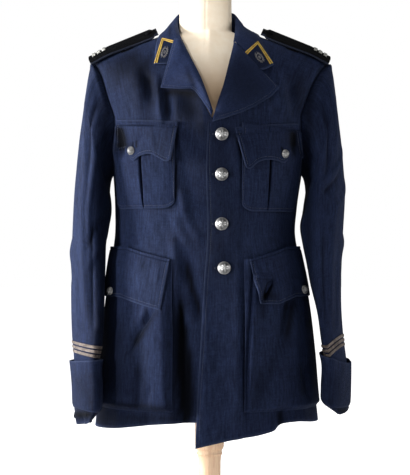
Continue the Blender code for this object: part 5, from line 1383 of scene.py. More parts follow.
# lapels and collar
rollRight = {
    "x": [0.0054, -0.0045, -0.0172, -0.0338, -0.0489, -0.0575, -0.0615, -0.0618, -0.057, -0.035, -0.006],
    "y": [-0.131, -0.1264, -0.117, -0.1004, -0.0751, -0.048, -0.01, 0.02, 0.045, 0.064, 0.07],
    "z": [0.8283, 0.8576, 0.8912, 0.926, 0.9589, 0.98, 1.001, 1.018, 1.031, 1.037, 1.039],
}
rollLeft = {
    "x": [0.007, 0.0172, 0.0263, 0.0365, 0.0442, 0.0485, 0.0508, 0.0505, 0.045, 0.024, -0.006],
    "y": [-0.134, -0.129, -0.121, -0.103, -0.0801, -0.053, -0.015, 0.018, 0.044, 0.064, 0.07],
    "z": [0.818, 0.8521, 0.8801, 0.9222, 0.9545, 0.979, 1.001, 1.019, 1.032, 1.037, 1.039],
}
lapelEdge = {
    "right": {
        "share": [0.0, 0.1, 0.22, 0.34, 0.42, 0.58, 0.75, 0.88, 1.0],
        "x": [0.0027, -0.0027, -0.0136, -0.0262, -0.0335, -0.0535, -0.0878, -0.0724, -0.0622],
        "z": [0.819, 0.831, 0.8484, 0.8651, 0.8695, 0.8683, 0.8712, 0.9253, 0.959],
    },
    "left": {
        "share": [0.0, 0.15, 0.3, 0.45, 0.6, 2 / 3, 0.83, 1.0],
        "x": [0.005, 0.0244, 0.0551, 0.0825, 0.1102, 0.1233, 0.108, 0.0933],
        "z": [0.809, 0.8138, 0.825, 0.8385, 0.856, 0.8713, 0.8885, 0.904],
    },
}
collarTable = {
    "right": {
        "share": [0.42, 0.5, 0.6, 0.72, 0.86, 1.0],
        "mid": [(-0.0745, -0.096, 0.919), (-0.0785, -0.068, 0.959), (-0.078, -0.03, 0.99),
                (-0.0765, 0.024, 1.006), (-0.059, 0.065, 1.012), (-0.006, 0.076, 1.01)],
        "edge": [(-0.1018, -0.0905, 0.919), (-0.099, -0.064, 0.945), (-0.0925, -0.027, 0.974),
                 (-0.088, 0.028, 0.987), (-0.063, 0.0735, 0.969), (-0.006, 0.083, 0.962)],
    },
    "left": {
        "share": [0.43, 0.5, 0.6, 0.72, 0.86, 1.0],
        "mid": [(0.095, -0.0985, 0.9075), (0.085, -0.07, 0.957), (0.07, -0.03, 0.989),
                (0.063, 0.024, 1.006), (0.047, 0.065, 1.012), (-0.006, 0.076, 1.01)],
        "edge": [(0.118, -0.092, 0.9175), (0.1045, -0.065, 0.947), (0.089, -0.025, 0.9735),
                 (0.0785, 0.028, 0.988), (0.051, 0.0735, 0.969), (-0.006, 0.083, 0.962)],
    },
}
collarFacts = {"lapelEnd": 0.42, "standHeight": 0.05, "standClear": 0.0018, "thick": 0.0016}
neckAxis = (-0.0075, 0.004)


def lineThrough(table, share):
    # the point at a share of the way through a table's points, by their order
    count = len(table["x"])
    rows = {"s": np.arange(count) / (count - 1), "p": np.stack([table[k] for k in "xyz"], -1)}
    return curve(rows, "s", "p", share)


def edgeSpaced(count, tight=0.35):
    # from 0 to 1, closer together at both ends
    t = np.linspace(0, 1, count)
    return t - tight * np.sin(2 * math.pi * t) / (2 * math.pi)


lapelFacts = {"steps": 90, "columns": 44, "bulge": 0.008, "standForward": 0.0085, "clear": 0.004,
              "overCollar": 0.004, "stitchIn": 0.0062, "edgeWidth": 0.0018}


def lapel(side):
    # from the roll line straight across to the free edge, bulged forwards, and pushed clear of the body
    sign, facts = sides[side], lapelFacts
    roll, free = (rollLeft if sign > 0 else rollRight), lapelEdge[side]
    shares = np.unique(np.concatenate([np.linspace(0, 1, facts["steps"]), free["share"]]))
    fold = lineThrough(roll, shares * collarFacts["lapelEnd"])
    edgeX, edgeZ = (np.interp(shares, free["share"], free[k]) for k in "xz")
    overCollar = 0.0 if sign > 0 else smooth(0.72, 1.0, shares)
    fold[:, 1] -= 0.0045 * smooth(0.8, 1.0, shares)
    if sign < 0:  # the right lapel's roll stands forward, so its face turns to the side
        fold[:, 1] -= facts["standForward"] * np.sin(np.pi * shares**0.8)
    edge = onFront(edgeX, edgeZ, 0.0048 + 0.0075 * overCollar)
    across = edgeSpaced(facts["columns"])[:, None, None]
    points = (1 - across) * fold + across * edge
    points[..., 1] -= facts["bulge"] * np.sin(np.pi * across[..., 0] ** 0.6) * smooth(0, 0.35, shares)
    raised = frontLift(points[..., 0], points[..., 2]) if sign > 0 else 0.0
    points = liftOff(points, facts["clear"] + raised + facts["overCollar"] * overCollar)
    inset = np.linalg.norm(points - points[-1:], axis=-1)
    points[..., 1] += 0.0005 * bump(inset - facts["stitchIn"], 0.0013)
    sewEdges("collar", points, "r", facts["stitchIn"], 0.01)
    turned = fold + np.array([0.0, 0.0035, -0.001])
    points = np.concatenate([turned[None], points])
    mark = bump(np.concatenate([inset[:1] * 0 + 1, inset]), facts["edgeWidth"])
    mark = np.maximum(mark, bump(lengthsToEnd(points), facts["edgeWidth"]))
    if sign < 0:
        points, mark = points[::-1], mark[::-1]
    return clothPiece(f"lapel_cloth_{side}", points, litFaceWool, [f"lapel_{side}"], thick=collarFacts["thick"],
                      edge=mark)


def shoulderSurface(x, y):
    # the height of the body's top at a place, from the same rule as its sections
    armpit, dome = bodySize["armpit"], bodySize["dome"]
    depth = np.where(y < 0, bodyTable["front"][-1], bodyTable["back"][-1])
    share = np.minimum(np.abs(y) / depth, 0.98)
    return armpit + (shoulderHeight(x) - armpit) * (1 - share**dome) ** (1 / dome)


def collarHalf(side, shares):
    # per share of the roll line: the stand up to the fold, then the fall out to its free edge
    roll, rows = (rollLeft if side == "left" else rollRight), collarTable[side]
    fold = lineThrough(roll, shares)
    mid, edge = curve(rows, "share", "mid", shares), curve(rows, "share", "edge", shares)
    inward = np.array([*neckAxis, 0.0]) - fold
    inward[:, 2] = 0
    inward /= np.linalg.norm(inward, axis=1, keepdims=True)
    root = shoulderSurface(fold[:, 0], fold[:, 1])
    root = root + collarFacts["standClear"] * (1 + smooth(0.01, 0.035, fold[:, 1]))
    height = np.minimum(collarFacts["standHeight"], fold[:, 2] - root)
    down = np.array([0, 0, 1.0]) * height[:, None]
    stand = [fold + inward * (0.0014 + 0.0006 * s) - down * s for s in (1.0, 0.55, 0.15)]
    near = fold * 0.8 + mid * 0.2 + np.array([0, 0, 0.0016]) - inward * 0.001
    swollen = 0.42 * fold + 0.58 * mid - inward * 0.0025
    near, swollen, mid, edge = (liftOff(row, 0.0036) for row in (near, swollen, mid, edge))
    return np.array([*stand, fold, near, swollen, mid, edge]).transpose(1, 0, 2)


def refine(points, count):
    # the grid's second direction made smooth: a cubic through its rows, by length
    n = points.shape[1]
    rows = {"s": np.arange(n), "p": points.transpose(1, 0, 2).reshape(n, -1)}
    dense = curve(rows, "s", "p", np.linspace(0, n - 1, count))
    return dense.reshape(count, points.shape[0], 3).transpose(1, 0, 2)


collarPoints = []


def collar():
    # both halves joined at the back and made smooth from the stand to the free edge
    right, left = (collarHalf(s, np.linspace(collarTable[s]["share"][0], 1, 80)) for s in ("right", "left"))
    coarse = np.concatenate([right, left[::-1][1:]])
    points = refine(coarse, 57)
    collarPoints.append(points)
    inset = np.linalg.norm(points - points[:, -1:], axis=-1)
    sewEdges("collar", points, "t", lapelFacts["stitchIn"], 0.008)
    mark = edgeMark(points, lapelFacts["edgeWidth"]) * (inset < 0.06)
    mark = np.maximum(bump(inset, lapelFacts["edgeWidth"]), mark)
    return clothPiece("collar_cloth", points[::-1], litFaceWool, ["collar"], thick=collarFacts["thick"],
                      edge=mark[::-1])


for eachSide in sides:
    lapel(eachSide)
collar()
print("lapels and collar made")

# pockets and flaps
chestPocket = {"innerX": {"right": 0.0625, "left": 0.058}, "bottom": {"right": 0.653, "left": 0.648},
               "outerAngle": 70.0, "top": 0.804, "corner": 0.016, "wall": 0.0014,
               "pleat": {"right": 0.415, "left": 0.35}, "slit": 0.0052}
# seen from the front: the strip sewn down along the top, the fold under it, the inner edge's top and foot,
# the scalloped edge as far as the button, and the gutter beyond, where the flap's outer end has curled up
chestFlap = {
    "right": {
        "top": (0.8095, 0.8165), "fold": (0.7995, 0.8065), "innerTop": 0.0585, "gutterTop": 0.1665,
        "low": {"x": [0.0705, 0.0776, 0.0927, 0.1046, 0.1161, 0.1251, 0.1341, 0.1413, 0.1467],
                "z": [0.7415, 0.7385, 0.7467, 0.7526, 0.7514, 0.7476, 0.7412, 0.749, 0.763]},
        "outer": (0.17, 0.169), "outerLow": 0.759, "slit": (0.1341, 0.775, 0.1341, 0.764), "inward": 0.0045,
    },
    "left": {
        "top": (0.799, 0.81), "fold": (0.7858, 0.797), "innerTop": 0.048, "gutterTop": 0.154,
        "low": {"x": [0.0682, 0.072, 0.0873, 0.099, 0.1089, 0.119, 0.129, 0.1355, 0.142],
                "z": [0.727, 0.725, 0.737, 0.7415, 0.742, 0.7405, 0.7375, 0.742, 0.756]},
        "outer": (0.161, 0.165), "outerLow": 0.748, "slit": (0.127, 0.765, 0.1275, 0.757), "inward": 0.007,
    },
}
skirtPocket = {"innerX": {"right": 0.067, "left": 0.0615}, "outerAngle": 79.0, "top": 0.56, "bottom": 0.286,
               "swell": 0.006}
skirtPocketFolds = {
    "right": [
        (-0.098, 0.464, -0.1406, 0.396, 0.006, -0.009, 0.003, 0.3),
        (-0.083, 0.5, -0.08, 0.285, 0.018, 0.01, 0.002, 0.45),
        (-0.1255, 0.39, -0.129, 0.29, 0.012, -0.007, 0.002, 0),
        (-0.152, 0.5, -0.15, 0.31, 0.014, 0.004, 0.004, 0.2),
        (-0.112, 0.47, -0.119, 0.43, 0.005, 0.0028, 0.002, 0.2),
        (-0.1, 0.33, -0.108, 0.3, 0.006, -0.0024, 0.002, 0.2),
    ],
    "left": [
        (0.142, 0.488, 0.129, 0.415, 0.0085, -0.009, 0.001, 0.2),
        (0.132, 0.42, 0.088, 0.34, 0.015, -0.0046, 0.005, 0.2),
        (0.086, 0.35, 0.076, 0.29, 0.012, -0.004, 0.002, 0),
        (0.14, 0.44, 0.125, 0.298, 0.015, 0.006, 0.003, 0),
        (0.165, 0.362, 0.17, 0.304, 0.008, -0.006, 0.002, 0),
        (0.079, 0.5, 0.0755, 0.33, 0.006, 0.0032, 0.001, 0),
        (0.15, 0.46, 0.156, 0.33, 0.007, 0.004, 0.003, 0.2),
    ],
}
skirtFlap = {"innerX": 0.07, "outerAngle": 79.5, "top": 0.56, "rise": 0.022, "depth": 0.092, "lift": 0.008}
skirtFlapFolds = {
    "right": [
        (-0.088, 0.545, -0.09, 0.515, 0.004, 0.0014, 0.001, 0.2),
        (-0.101, 0.552, -0.104, 0.52, 0.005, -0.0014, 0.001, 0.2),
        (-0.118, 0.556, -0.123, 0.52, 0.005, 0.0014, 0.002, 0.2),
        (-0.133, 0.515, -0.115, 0.492, 0.006, -0.0016, 0.002, 0.3),
        (-0.145, 0.56, -0.148, 0.52, 0.007, 0.0018, 0.002, 0.2),
    ],
    "left": [
        (0.0774, 0.53, 0.112, 0.525, 0.004, 0.0055, 0.001, 0.2),
        (0.11, 0.522, 0.0925, 0.485, 0.007, -0.0105, 0.001, 0.3),
        (0.088, 0.513, 0.085, 0.49, 0.006, 0.0035, 0.001, 0),
        (0.13, 0.525, 0.118, 0.485, 0.008, 0.004, 0.002, 0),
        (0.096, 0.56, 0.097, 0.54, 0.003, 0.0012, 0.001, 0),
        (0.145, 0.505, 0.156, 0.498, 0.006, -0.003, 0.001, 0),
    ],
}
stitchIn = 0.0058  # the top-stitching's distance inside an edge


def pocketAngles(facts, level, columns, sign):
    # from the pocket's upright inner edge round to its outer one, which keeps off the armhole's seam
    inner = np.abs(angleAt(sign * facts["innerX"], level))
    under = np.linspace(90, bodySize["armholeAngle"], 40)
    outer = np.minimum(facts["outerAngle"], np.interp(level, armholeTop(under), under) - 4.0)
    return sign * (inner + (np.radians(outer) - inner) * columns)


def pocketPiece(name, sign, angles, level, offset, stands, sidesUsed, paintedShadeAndDye, stitched=True):
    # worked out twice: once to measure the distance to its edges, then with the ditch of the stitching
    inset = nearEdge(clothPoint(angles, level, offset), sidesUsed)
    rounded = 0.001 * bump(inset, 0.001) + 0.0005 * bump(inset - stitchIn, 0.0011) * stitched
    points = clothPoint(angles, level, offset - rounded)
    if stitched:
        sewEdges("right" if sign < 0 else "left", points, sidesUsed.replace("t", ""), stitchIn, 0.0075)
    mark = bump(inset, 0.0016) * (1.0 if stitched else 0.35)
    if sign < 0:
        points, mark, paintedShadeAndDye = points[::-1], mark[::-1], paintedShadeAndDye[::-1]
    return clothPiece(name, points, navyWool, stands, thick=chestPocket["wall"], edge=mark, paintedShadeAndDye=paintedShadeAndDye)


def gutterHollow(side, x, z):
    # where the chest flap's curled end leaves a hollow, from 0 to 1
    sign, facts = sides[side], chestFlap[side]
    foot = sign * (facts["low"]["x"][-1] + 0.01)
    line = (sign * facts["gutterTop"], 0.803, foot, 0.757, 0.0075, 1.0, 0, 0)
    return foldHeight(np.stack([x, z], -1), [line])


def chestPocketPiece(side):
    # a puffed cloth between straight edges and rounded lower corners, open along the middle in a pleat
    sign, facts = sides[side], dict(chestPocket)
    for measure in ("innerX", "bottom", "pleat"):
        facts[measure] = facts[measure][side]
    pleat = facts["pleat"]
    columns = np.unique(np.concatenate([edgeSpaced(74, 0.6), np.linspace(pleat - 0.05, pleat + 0.05, 41)]))
    u, v = np.meshgrid(columns, edgeSpaced(72, 0.6), indexing="ij")
    corner = np.maximum(0, 1 - np.minimum(u, 1 - u) / 0.16)
    low = facts["bottom"] + facts["corner"] * (1 - np.sqrt(np.maximum(0, 1 - corner**2)))
    level = chestLevel(low + (facts["top"] - low) * v)
    angles = pocketAngles(facts, level, u, sign)
    # the inverted pleat: two soft folds meet over a gap, darkened with painted shade
    away = u - pleat - 0.006 * np.sin(4.5 * v + sign)
    half = 0.007 + 0.013 * np.sin(np.pi * np.clip(v * 1.1, 0, 1)) ** 0.8
    gap = np.exp(-np.abs(away / half) ** 4) * smooth(0.0, 0.03, v)
    lips = 0.001 * bump(np.abs(away) - half - 0.012, 0.04) * smooth(0.0, 0.12, v)
    puff = 0.003 * np.sin(np.pi * u) * np.sin(np.pi * v)
    near = np.minimum(np.minimum(u, 1 - u), v)
    where = bodyPoint(angles, level)
    gutter = gutterHollow(side, where[..., 0], where[..., 2])
    offset = 0.0046 + puff + 0.0014 * smooth(0.0, 0.1, near) + lips
    offset = np.maximum(offset - facts["slit"] * gap - 0.004 * gutter, 0.0016)
    # painted shade in the pleat's gap and in the gutter under the flap's curled end
    paintedShadeAndDye = np.maximum(gap, 0.9 * gutter)
    return pocketPiece(f"chest_pocket_cloth_{side}", sign, angles, level, offset, [f"chest_pocket_{side}"],
                       "lrb", paintedShadeAndDye)


def chestFlapPiece(side):
    # columns run from the inner edge to the gutter and on to the outer edge; rows from the scalloped edge up
    sign, facts = sides[side], chestFlap[side]
    front, beyond = np.linspace(0, 1, 90), np.linspace(0, 1, 25)[1:]
    c = np.concatenate([front, np.ones(len(beyond))])[:, None]
    q = np.concatenate([front * 0, beyond])[:, None]
    v = edgeSpaced(60, 0.4)[None, :]
    low = facts["low"]
    xLow = low["x"][0] + (low["x"][-1] - low["x"][0]) * c
    zLow = curve(low, "x", "z", xLow) * (1 - q) + facts["outerLow"] * q
    zTop = facts["top"][0] + (facts["top"][1] - facts["top"][0]) * c
    zFold = facts["fold"][0] + (facts["fold"][1] - facts["fold"][0]) * c
    xTop = facts["innerTop"] + (facts["gutterTop"] - facts["innerTop"]) * c
    z = zLow + (zTop - zLow) * v
    down = np.clip((zTop - z) / (zTop - zLow), 0, 1)
    x = xTop + (xLow - xTop) * down
    x = x - facts["inward"] * (1 - c) * (0.5 + 0.5 * down)
    x = x + (facts["outer"][0] + (facts["outer"][1] - facts["outer"][0]) * down - x) * q
    free = np.clip((zFold - z) / (zFold - zLow), 0, 1)
    hang = 0.0058 + free * (0.0046 + 0.01 * (1 - c) ** 1.3) + 0.0016 * np.sin(np.pi * c)
    outer = 0.008 + 0.003 * free
    dip = np.sin(np.pi * q) ** 0.7 * free**0.5
    hang = hang + (outer - hang) * q - 0.0072 * dip
    sewn = smooth(-0.003, 0.0012, z - zFold)
    flat = np.stack([sign * x, z], -1)
    x1, z1, x2, z2 = facts["slit"]
    slit = foldHeight(flat, [(sign * x1, z1, sign * x2, z2, 0.0015, 1.0, 0, 0)])
    curl = 0.0012 * np.sin(9.0 * q * np.pi) * (1 - v) * smooth(0.3, 0.0, v)
    ripple = foldHeight(flat, [(sign * 0.1, 0.79, sign * 0.094, 0.76, 0.006, 0.0012, 0.002, 0.2),
                               (sign * 0.118, 0.785, sign * 0.122, 0.765, 0.005, -0.0012, 0.002, 0.2)])
    offset = hang * (1 - sewn) + 0.0044 * sewn - 0.0015 * bump(z - zFold - 0.0008, 0.0011)
    offset = np.maximum(offset + curl + ripple - 0.0014 * slit, 0.003)
    level = levelAt(sign * x, z)
    # painted shade in the gutter's dip, in the slit and along the fold under the sewn strip
    paintedShadeAndDye = np.maximum(np.maximum(dip, slit), 0.7 * bump(z - zFold - 0.0008, 0.0009))
    return pocketPiece(f"chest_flap_cloth_{side}", sign, angleAt(sign * x, level), level, offset,
                       [f"chest_flap_{side}"], "lrbt", paintedShadeAndDye)


def skirtPocketPiece(side):
    # a cloth that swells towards its foot, with its own folds, and stands off at its inner edge
    sign, facts = sides[side], {**skirtPocket, "innerX": skirtPocket["innerX"][side]}
    u, v = np.meshgrid(edgeSpaced(110, 0.7), edgeSpaced(104, 0.6), indexing="ij")
    level = facts["bottom"] + (facts["top"] - facts["bottom"]) * v + 0.01 * u * v
    angles = pocketAngles(facts, level, u, sign)
    rim = smooth(0.0, 0.045, np.minimum(np.minimum(u, 1 - u), 1.4 * v))
    folds = foldHeight(bodyPoint(angles, level)[..., [0, 2]], skirtPocketFolds[side])
    swell = facts["swell"] * (1 - 0.6 * v)
    raised = 0.005 * bump(u, 0.05) * smooth(0.95, 0.6, v) * smooth(0.0, 0.1, v)  # the inner edge stands off
    offset = np.maximum(0.0026 + rim * (0.0018 + swell + folds) + raised, 0.0022)
    # painted shade in the folds' valleys
    paintedShadeAndDye = smooth(-0.003, -0.01, folds * rim)
    return pocketPiece(f"skirt_pocket_cloth_{side}", sign, angles, level, offset, [f"skirt_pocket_{side}"],
                       "lrb", paintedShadeAndDye, stitched=False)


def skirtFlapPiece(side):
    # sewn along its top and lifting towards its free edge, most at the inner corner
    sign, facts = sides[side], skirtFlap
    u, v = np.meshgrid(edgeSpaced(110, 0.5), edgeSpaced(76, 0.5), indexing="ij")
    free = 1 - v
    level = facts["top"] + facts["rise"] * np.minimum(1, u / 0.55) - facts["depth"] * free
    level = level + (0.011 if sign > 0 else 0.0) * free * np.maximum(0, 1 - u / 0.25)
    drift = (0.085 if sign > 0 else 0.07) * free * np.maximum(0, 1 - u / 0.6)
    angles = pocketAngles(facts, level, u * (1 - drift) + drift, sign)
    folds = foldHeight(bodyPoint(angles, level)[..., [0, 2]], skirtFlapFolds[side]) * smooth(0.0, 0.12, free)
    wave = 0.0016 * np.sin(5.0 * u + (1.2 if sign > 0 else 3.4)) * free
    corner = facts["lift"] * free * np.maximum(0, 1 - u / 0.4)
    close = 0.003 * smooth(0.6, 1.0, u) * free
    sewn = 0.0012 * bump(facts["depth"] * free - 0.0052, 0.0012)  # the stitched fold along the top
    hang = 0.0079 + 0.005 * np.sin(math.pi / 2 * free) + corner + np.abs(wave) - close + folds - sewn
    offset = np.maximum(hang, 0.0065)
    # painted shade in the folds' valleys and along the stitched fold at the top
    paintedShadeAndDye = np.maximum(smooth(-0.003, -0.009, folds), 0.6 * bump(facts["depth"] * free - 0.0052, 0.0009))
    return pocketPiece(f"skirt_flap_cloth_{side}", sign, angles, level, offset, [f"skirt_flap_{side}"],
                       "lrb", paintedShadeAndDye)


for eachSide in sides:
    chestPocketPiece(eachSide)
    chestFlapPiece(eachSide)
    skirtPocketPiece(eachSide)
    skirtFlapPiece(eachSide)
print("pockets and flaps made")

# buttons
buttonLook = {
    "rings": 34, "spokes": 84, "beads": 30, "petals": 7, "relief": 0.00075, "reliefRadius": 0.0118,
    "rim": 0.0026,
    "domeGain": 1.75, "smallRadius": 0.0095, "recessLarge": 0.65, "recessSmall": 0.35,
    "under": [[0.985, 0.0023], [0.95, 0.0019], [0.32, 0.0017], [0.3, 0.0]],  # share of the radius, and height
}
buttonholeFacts = {"pitch": 0.0011, "half": 0.0115, "wide": 0.0017, "aside": 0.0055, "sunk": 0.001}


def nodePoints(name):
    # the corners of one of the part's solids, a row each
    mesh = nodes[name].data
    points = np.empty(len(mesh.vertices) * 3, np.float32)
    mesh.vertices.foreach_get("co", points)
    return points.reshape(-1, 3).astype(float)


def nodeFrame(name):
    # a turned solid's foot, its axis towards the front, and its reach along and round that axis
    points = np.unique(nodePoints(name).round(6), axis=0)
    middle = points.mean(0)
    axis = np.linalg.eigh(np.cov((points - middle).T))[1][:, 0]
    axis = axis * (1 if axis[1] < 0 else -1)
    along = (points - middle) @ axis
    away = np.linalg.norm(points - middle - along[:, None] * axis, axis=1)
    return middle + axis * along.min(), axis, along.max() - along.min(), away.max()


def button(name, inward=0.0):
    # turned dome with a rolled rim, a ring of beads and a rosette, over a shank
    foot, axis, tall, radius = nodeFrame(name)
    if inward:  # the cloth turns towards the front round these ones
        axis = unit(axis + np.array([0, -0.8, 0]))
        foot = foot + np.array([-inward, -0.003, 0])
    facts = buttonLook
    rim = facts["rim"]
    r = np.linspace(0.004, 1, facts["rings"])[None, :]
    turn = ringTurns(facts["spokes"])[:, None]
    dome = rim + (tall - rim) * (1 - r**2.0) * facts["domeGain"] + 0.0002
    roll = 0.9 * bump(r - 0.93, 0.045)
    beads = 0.55 * bump(r - 0.8, 0.055) * (0.35 + 0.65 * np.abs(np.cos(facts["beads"] / 2 * turn)))
    petals = np.clip(np.cos(facts["petals"] / 2 * turn) ** 2, 0, 1) ** 0.7 * bump(r - 0.38, 0.26)
    boss = 0.8 * bump(r, 0.16)
    relief = roll + beads + petals + boss
    high = dome + facts["relief"] * (radius / facts["reliefRadius"]) * (relief - 0.45)
    reach = r * radius + 0 * turn
    under = np.array(facts["under"])
    reach = np.concatenate([reach, np.tile(under[:, 0] * radius, (len(turn), 1))], 1)
    high = np.concatenate([high, np.tile(under[:, 1], (len(turn), 1))], 1)
    recess = smooth(0.75, 0.05, relief) * smooth(0.98, 0.9, r)
    recess = np.concatenate([recess, np.full((len(turn), len(under)), 0.6)], 1)
    # the small ones are rubbed brighter
    recess = recess * (facts["recessLarge"] if radius > facts["smallRadius"] else facts["recessSmall"])
    side = unit(np.cross(axis, [0.0, 0.0, 1.0]))
    up = np.cross(side, axis)
    outward = side * np.cos(turn)[..., None] + up * np.sin(turn)[..., None]
    points = foot + axis * high[..., None] + reach[..., None] * outward
    solidPiece(f"{name}_metal", points, silveredMetal, [name], "silvered_metal", {"recess": recess})
    return foot, axis


def buttonhole(foot, axis):
    # a worked slit: close stitches round a long level loop on the cloth, a little to the button's side
    facts, level = buttonholeFacts, np.array([1.0, 0, 0])
    side = unit(level - axis * np.dot(level, axis))
    across = np.cross(axis, side)
    turn = np.linspace(0, 2 * math.pi, 160)
    wide = facts["wide"] * signedPower(np.sin(turn), 0.5)
    middle = foot + np.array([-facts["aside"], 0, 0])
    loop = middle + np.outer(facts["half"] * np.cos(turn), side) + np.outer(wide, across)
    sewRow("left", loop - axis * facts["sunk"], np.tile(axis, (len(turn), 1)), facts["pitch"])


for n in (1, 2, 3, 4):
    buttonhole(*button(f"front_button_{n}"))
for eachSide in sides:
    button(f"chest_button_{eachSide}")
    button(f"skirt_button_{eachSide}", sides[eachSide] * 0.003)
print("buttons made")

# shoulder boards
boardFacts = {
    "length": 0.128, "width": 0.05, "point": 0.012, "blunt": 0.62, "thick": 0.0058, "cord": 0.0011,
    "stripe": 0.0066, "pitch": 0.0105, "firstStripe": 0.012, "barFrom": 0.02, "tilt": 26.0, "twist": 3.0,
    "droop": 0.005, "buttonAt": 0.004, "buttonRadius": 0.0062,
}
# the painted shadow strip under each board's front edge
shadowStripFacts = {"from": 0.006, "to": 0.066, "wide": 0.012, "thick": 0.0026, "forward": 0.0045, "below": 0.0052}
boardEnds = {
    "right": ((-0.113, -0.0125, 0.9915), (-0.233, -0.0125, 0.943)),
    "left": ((0.113, -0.0125, 0.9915), (0.236, -0.0125, 0.942)),
}


def boardFrame(side):
    # along the board, across it and up from it; its middle plane is where the solid lies
    inner, outer = (np.array(end) for end in boardEnds[side])
    along = unit(outer - inner)
    tilt = math.radians(boardFacts["tilt"])
    up = np.array([0, -math.sin(tilt), math.cos(tilt)])
    up = unit(up - along * np.dot(up, along))
    level = nodePoints(f"shoulder_board_{side}") @ up
    origin = inner + up * ((level.min() + level.max()) / 2 - inner @ up)
    return origin, along, np.cross(up, along), up


def onBoard(side, s, w, h):
    # along, towards the back edge and up from the middle plane; turned about the back edge, more at the
    # outer end
    origin, along, across, up = boardFrame(side)
    rear = across * (1 if across[1] > 0 else -1)
    half = boardFacts["width"] / 2
    turn = np.radians(boardFacts["twist"]) * smooth(0.02, 0.12, s)
    front = w - half
    shift = half + front * np.cos(turn) + h * np.sin(turn)
    raised = -front * np.sin(turn) + h * np.cos(turn) - boardFacts["droop"] * smooth(0.08, 0.132, s)
    return origin + s[..., None] * along + shift[..., None] * rear + raised[..., None] * up


def boardTube(name, side, s, w, h, stands, marks=None):
    # a closed tube of sections laid on the board, with its own width and length as flat coordinates
    s, w, h = np.broadcast_arrays(s, w, h)
    across, rows = s.shape
    quads = gridQuads(across, rows, closed=True)
    i, j = quads // rows, quads % rows
    flat = np.stack([w[i, j], s[i, j]], -1)
    solidPiece(name, onBoard(side, s, w, h), boardCloth, stands, "black_board", marks, flat)


def board(side):
    # rounded oblong sections carried along the board to its blunt point; a corded edge and a crowned top
    facts = boardFacts
    t = edgeSpaced(90, 0.7)[None, :]
    s = -facts["point"] + (facts["length"] + facts["point"]) * t
    half = facts["width"] / 2 * np.clip((s + facts["point"]) / facts["point"], facts["blunt"], 1)
    half = half * (1 - 0.02 * t)
    half = half * np.sqrt(np.clip(1 - ((t - 0.985) / 0.015).clip(0, 0.97) ** 2, 0, 1))
    turn = ringTurns(72)[:, None]
    wide, high = signedPower(np.cos(turn), 0.35), signedPower(np.sin(turn), 0.6)
    cord = bump((1 - np.abs(wide)) * half - facts["cord"], facts["cord"])
    crown = 0.001 * (1 - wide**2) * (high > 0)
    thick = facts["thick"] / 2 * (0.86 + 0.14 * cord)
    worn = {"edge": bump((1 - np.abs(wide)) * half, 0.0014)}
    high = high * thick + crown
    boardTube(f"board_cloth_{side}", side, s, wide * half, high, [f"shoulder_board_{side}"], worn)
    for n in range(3):
        boardStripe(side, n + 1, facts["length"] - facts["firstStripe"] - n * facts["pitch"])
    boardShadowStrip(side)
    boardButton(side)


def boardShadowStrip(side):
    # a strip of the black board cloth in front of and below the board near the collar, tapering outwards:
    # painted shadow under the board's raised front edge
    facts = shadowStripFacts
    t = edgeSpaced(40, 0.6)[None, :]
    s = facts["from"] + (facts["to"] - facts["from"]) * t
    turn = ringTurns(24)[:, None]
    wide = signedPower(np.cos(turn), 0.4) * facts["wide"] / 2 * (1 - 0.55 * t) * (1 - 0.7 * t**8)
    high = signedPower(np.sin(turn), 0.7) * facts["thick"] / 2
    middle = -boardFacts["width"] / 2 - facts["forward"] * (1 - 0.8 * t)
    boardTube(f"board_shadow_strip_{side}", side, s, middle + wide, high - facts["below"] * (1 - 0.3 * t), ())


def boardStripe(side, number, middle):
    # a ribbed braid bar from the board's crown to its back edge, turned down at its ends
    facts = boardFacts
    s = np.linspace(-0.5, 0.5, 17)[:, None] * facts["stripe"]
    w = np.linspace(facts["barFrom"], 0.485, 40)[None, :] * facts["width"]
    wave = np.abs(np.cos(3 * math.pi * s / facts["stripe"]))
    ribs = 0.00022 * wave - 0.0005 * np.abs(2 * s / facts["stripe"]) ** 6
    high = facts["thick"] / 2 + 0.001 * (1 - (2 * w / facts["width"]) ** 2) + 0.0006 + ribs
    high = high - 0.0012 * smooth(0.44, 0.5, w / facts["width"])
    points = onBoard(side, *np.broadcast_arrays(middle + s, w, high))
    if sides[side] < 0:
        points = points[::-1]
    clothPiece(f"board_braid_{side}_{number}", points, boardSilver, [f"board_stripe_{side}_{number}"],
               thick=0.0008, slotName="silver_braid", trim=True)


def boardButton(side):
    # a small domed button with a bead rim near the board's point
    origin, along, _, up = boardFrame(side)
    spot = origin + along * boardFacts["buttonAt"] + up * (boardFacts["thick"] / 2 + 0.0008)
    radius = boardFacts["buttonRadius"]
    r = np.linspace(0.01, 1, 16)[None, :]
    turn = ringTurns(40)[:, None]
    high = 0.0026 * (1 - r**2.4) + 0.0007 + 0.0004 * bump(r - 0.9, 0.07) + 0 * turn
    side1 = unit(np.cross(up, [0.0, 1.0, 0.0]))
    side2 = np.cross(up, side1)
    reach = radius * r + 0 * turn
    reach = np.concatenate([reach, reach[:, -1:] * 0.98], 1)
    high = np.concatenate([high, high[:, -1:] * 0], 1)
    points = spot + reach[..., None] * (side1 * np.cos(turn)[..., None] + side2 * np.sin(turn)[..., None])
    points = points + high[..., None] * up
    solidPiece(f"board_button_{side}", points, boardCloth, (), "black_board")


for eachSide in sides:
    board(eachSide)
print("shoulder boards made")

# collar patches: corners seen from the front; the braid runs end, corner, end
patchCorners = {
    "right": {"front": (-0.1015, 0.919), "corner": (-0.088, 0.97), "top": (-0.062, 0.962),
              "inner": (-0.076, 0.919)},
    "left": {"front": (0.116, 0.919), "corner": (0.089, 0.963), "top": (0.064, 0.939),
             "inner": (0.091, 0.907)},
}
patchFacts = {"thick": 0.0008, "lift": 0.0018, "braid": 0.0024, "gap": 0.0013, "wreath": 0.0085, "leaves": 8}


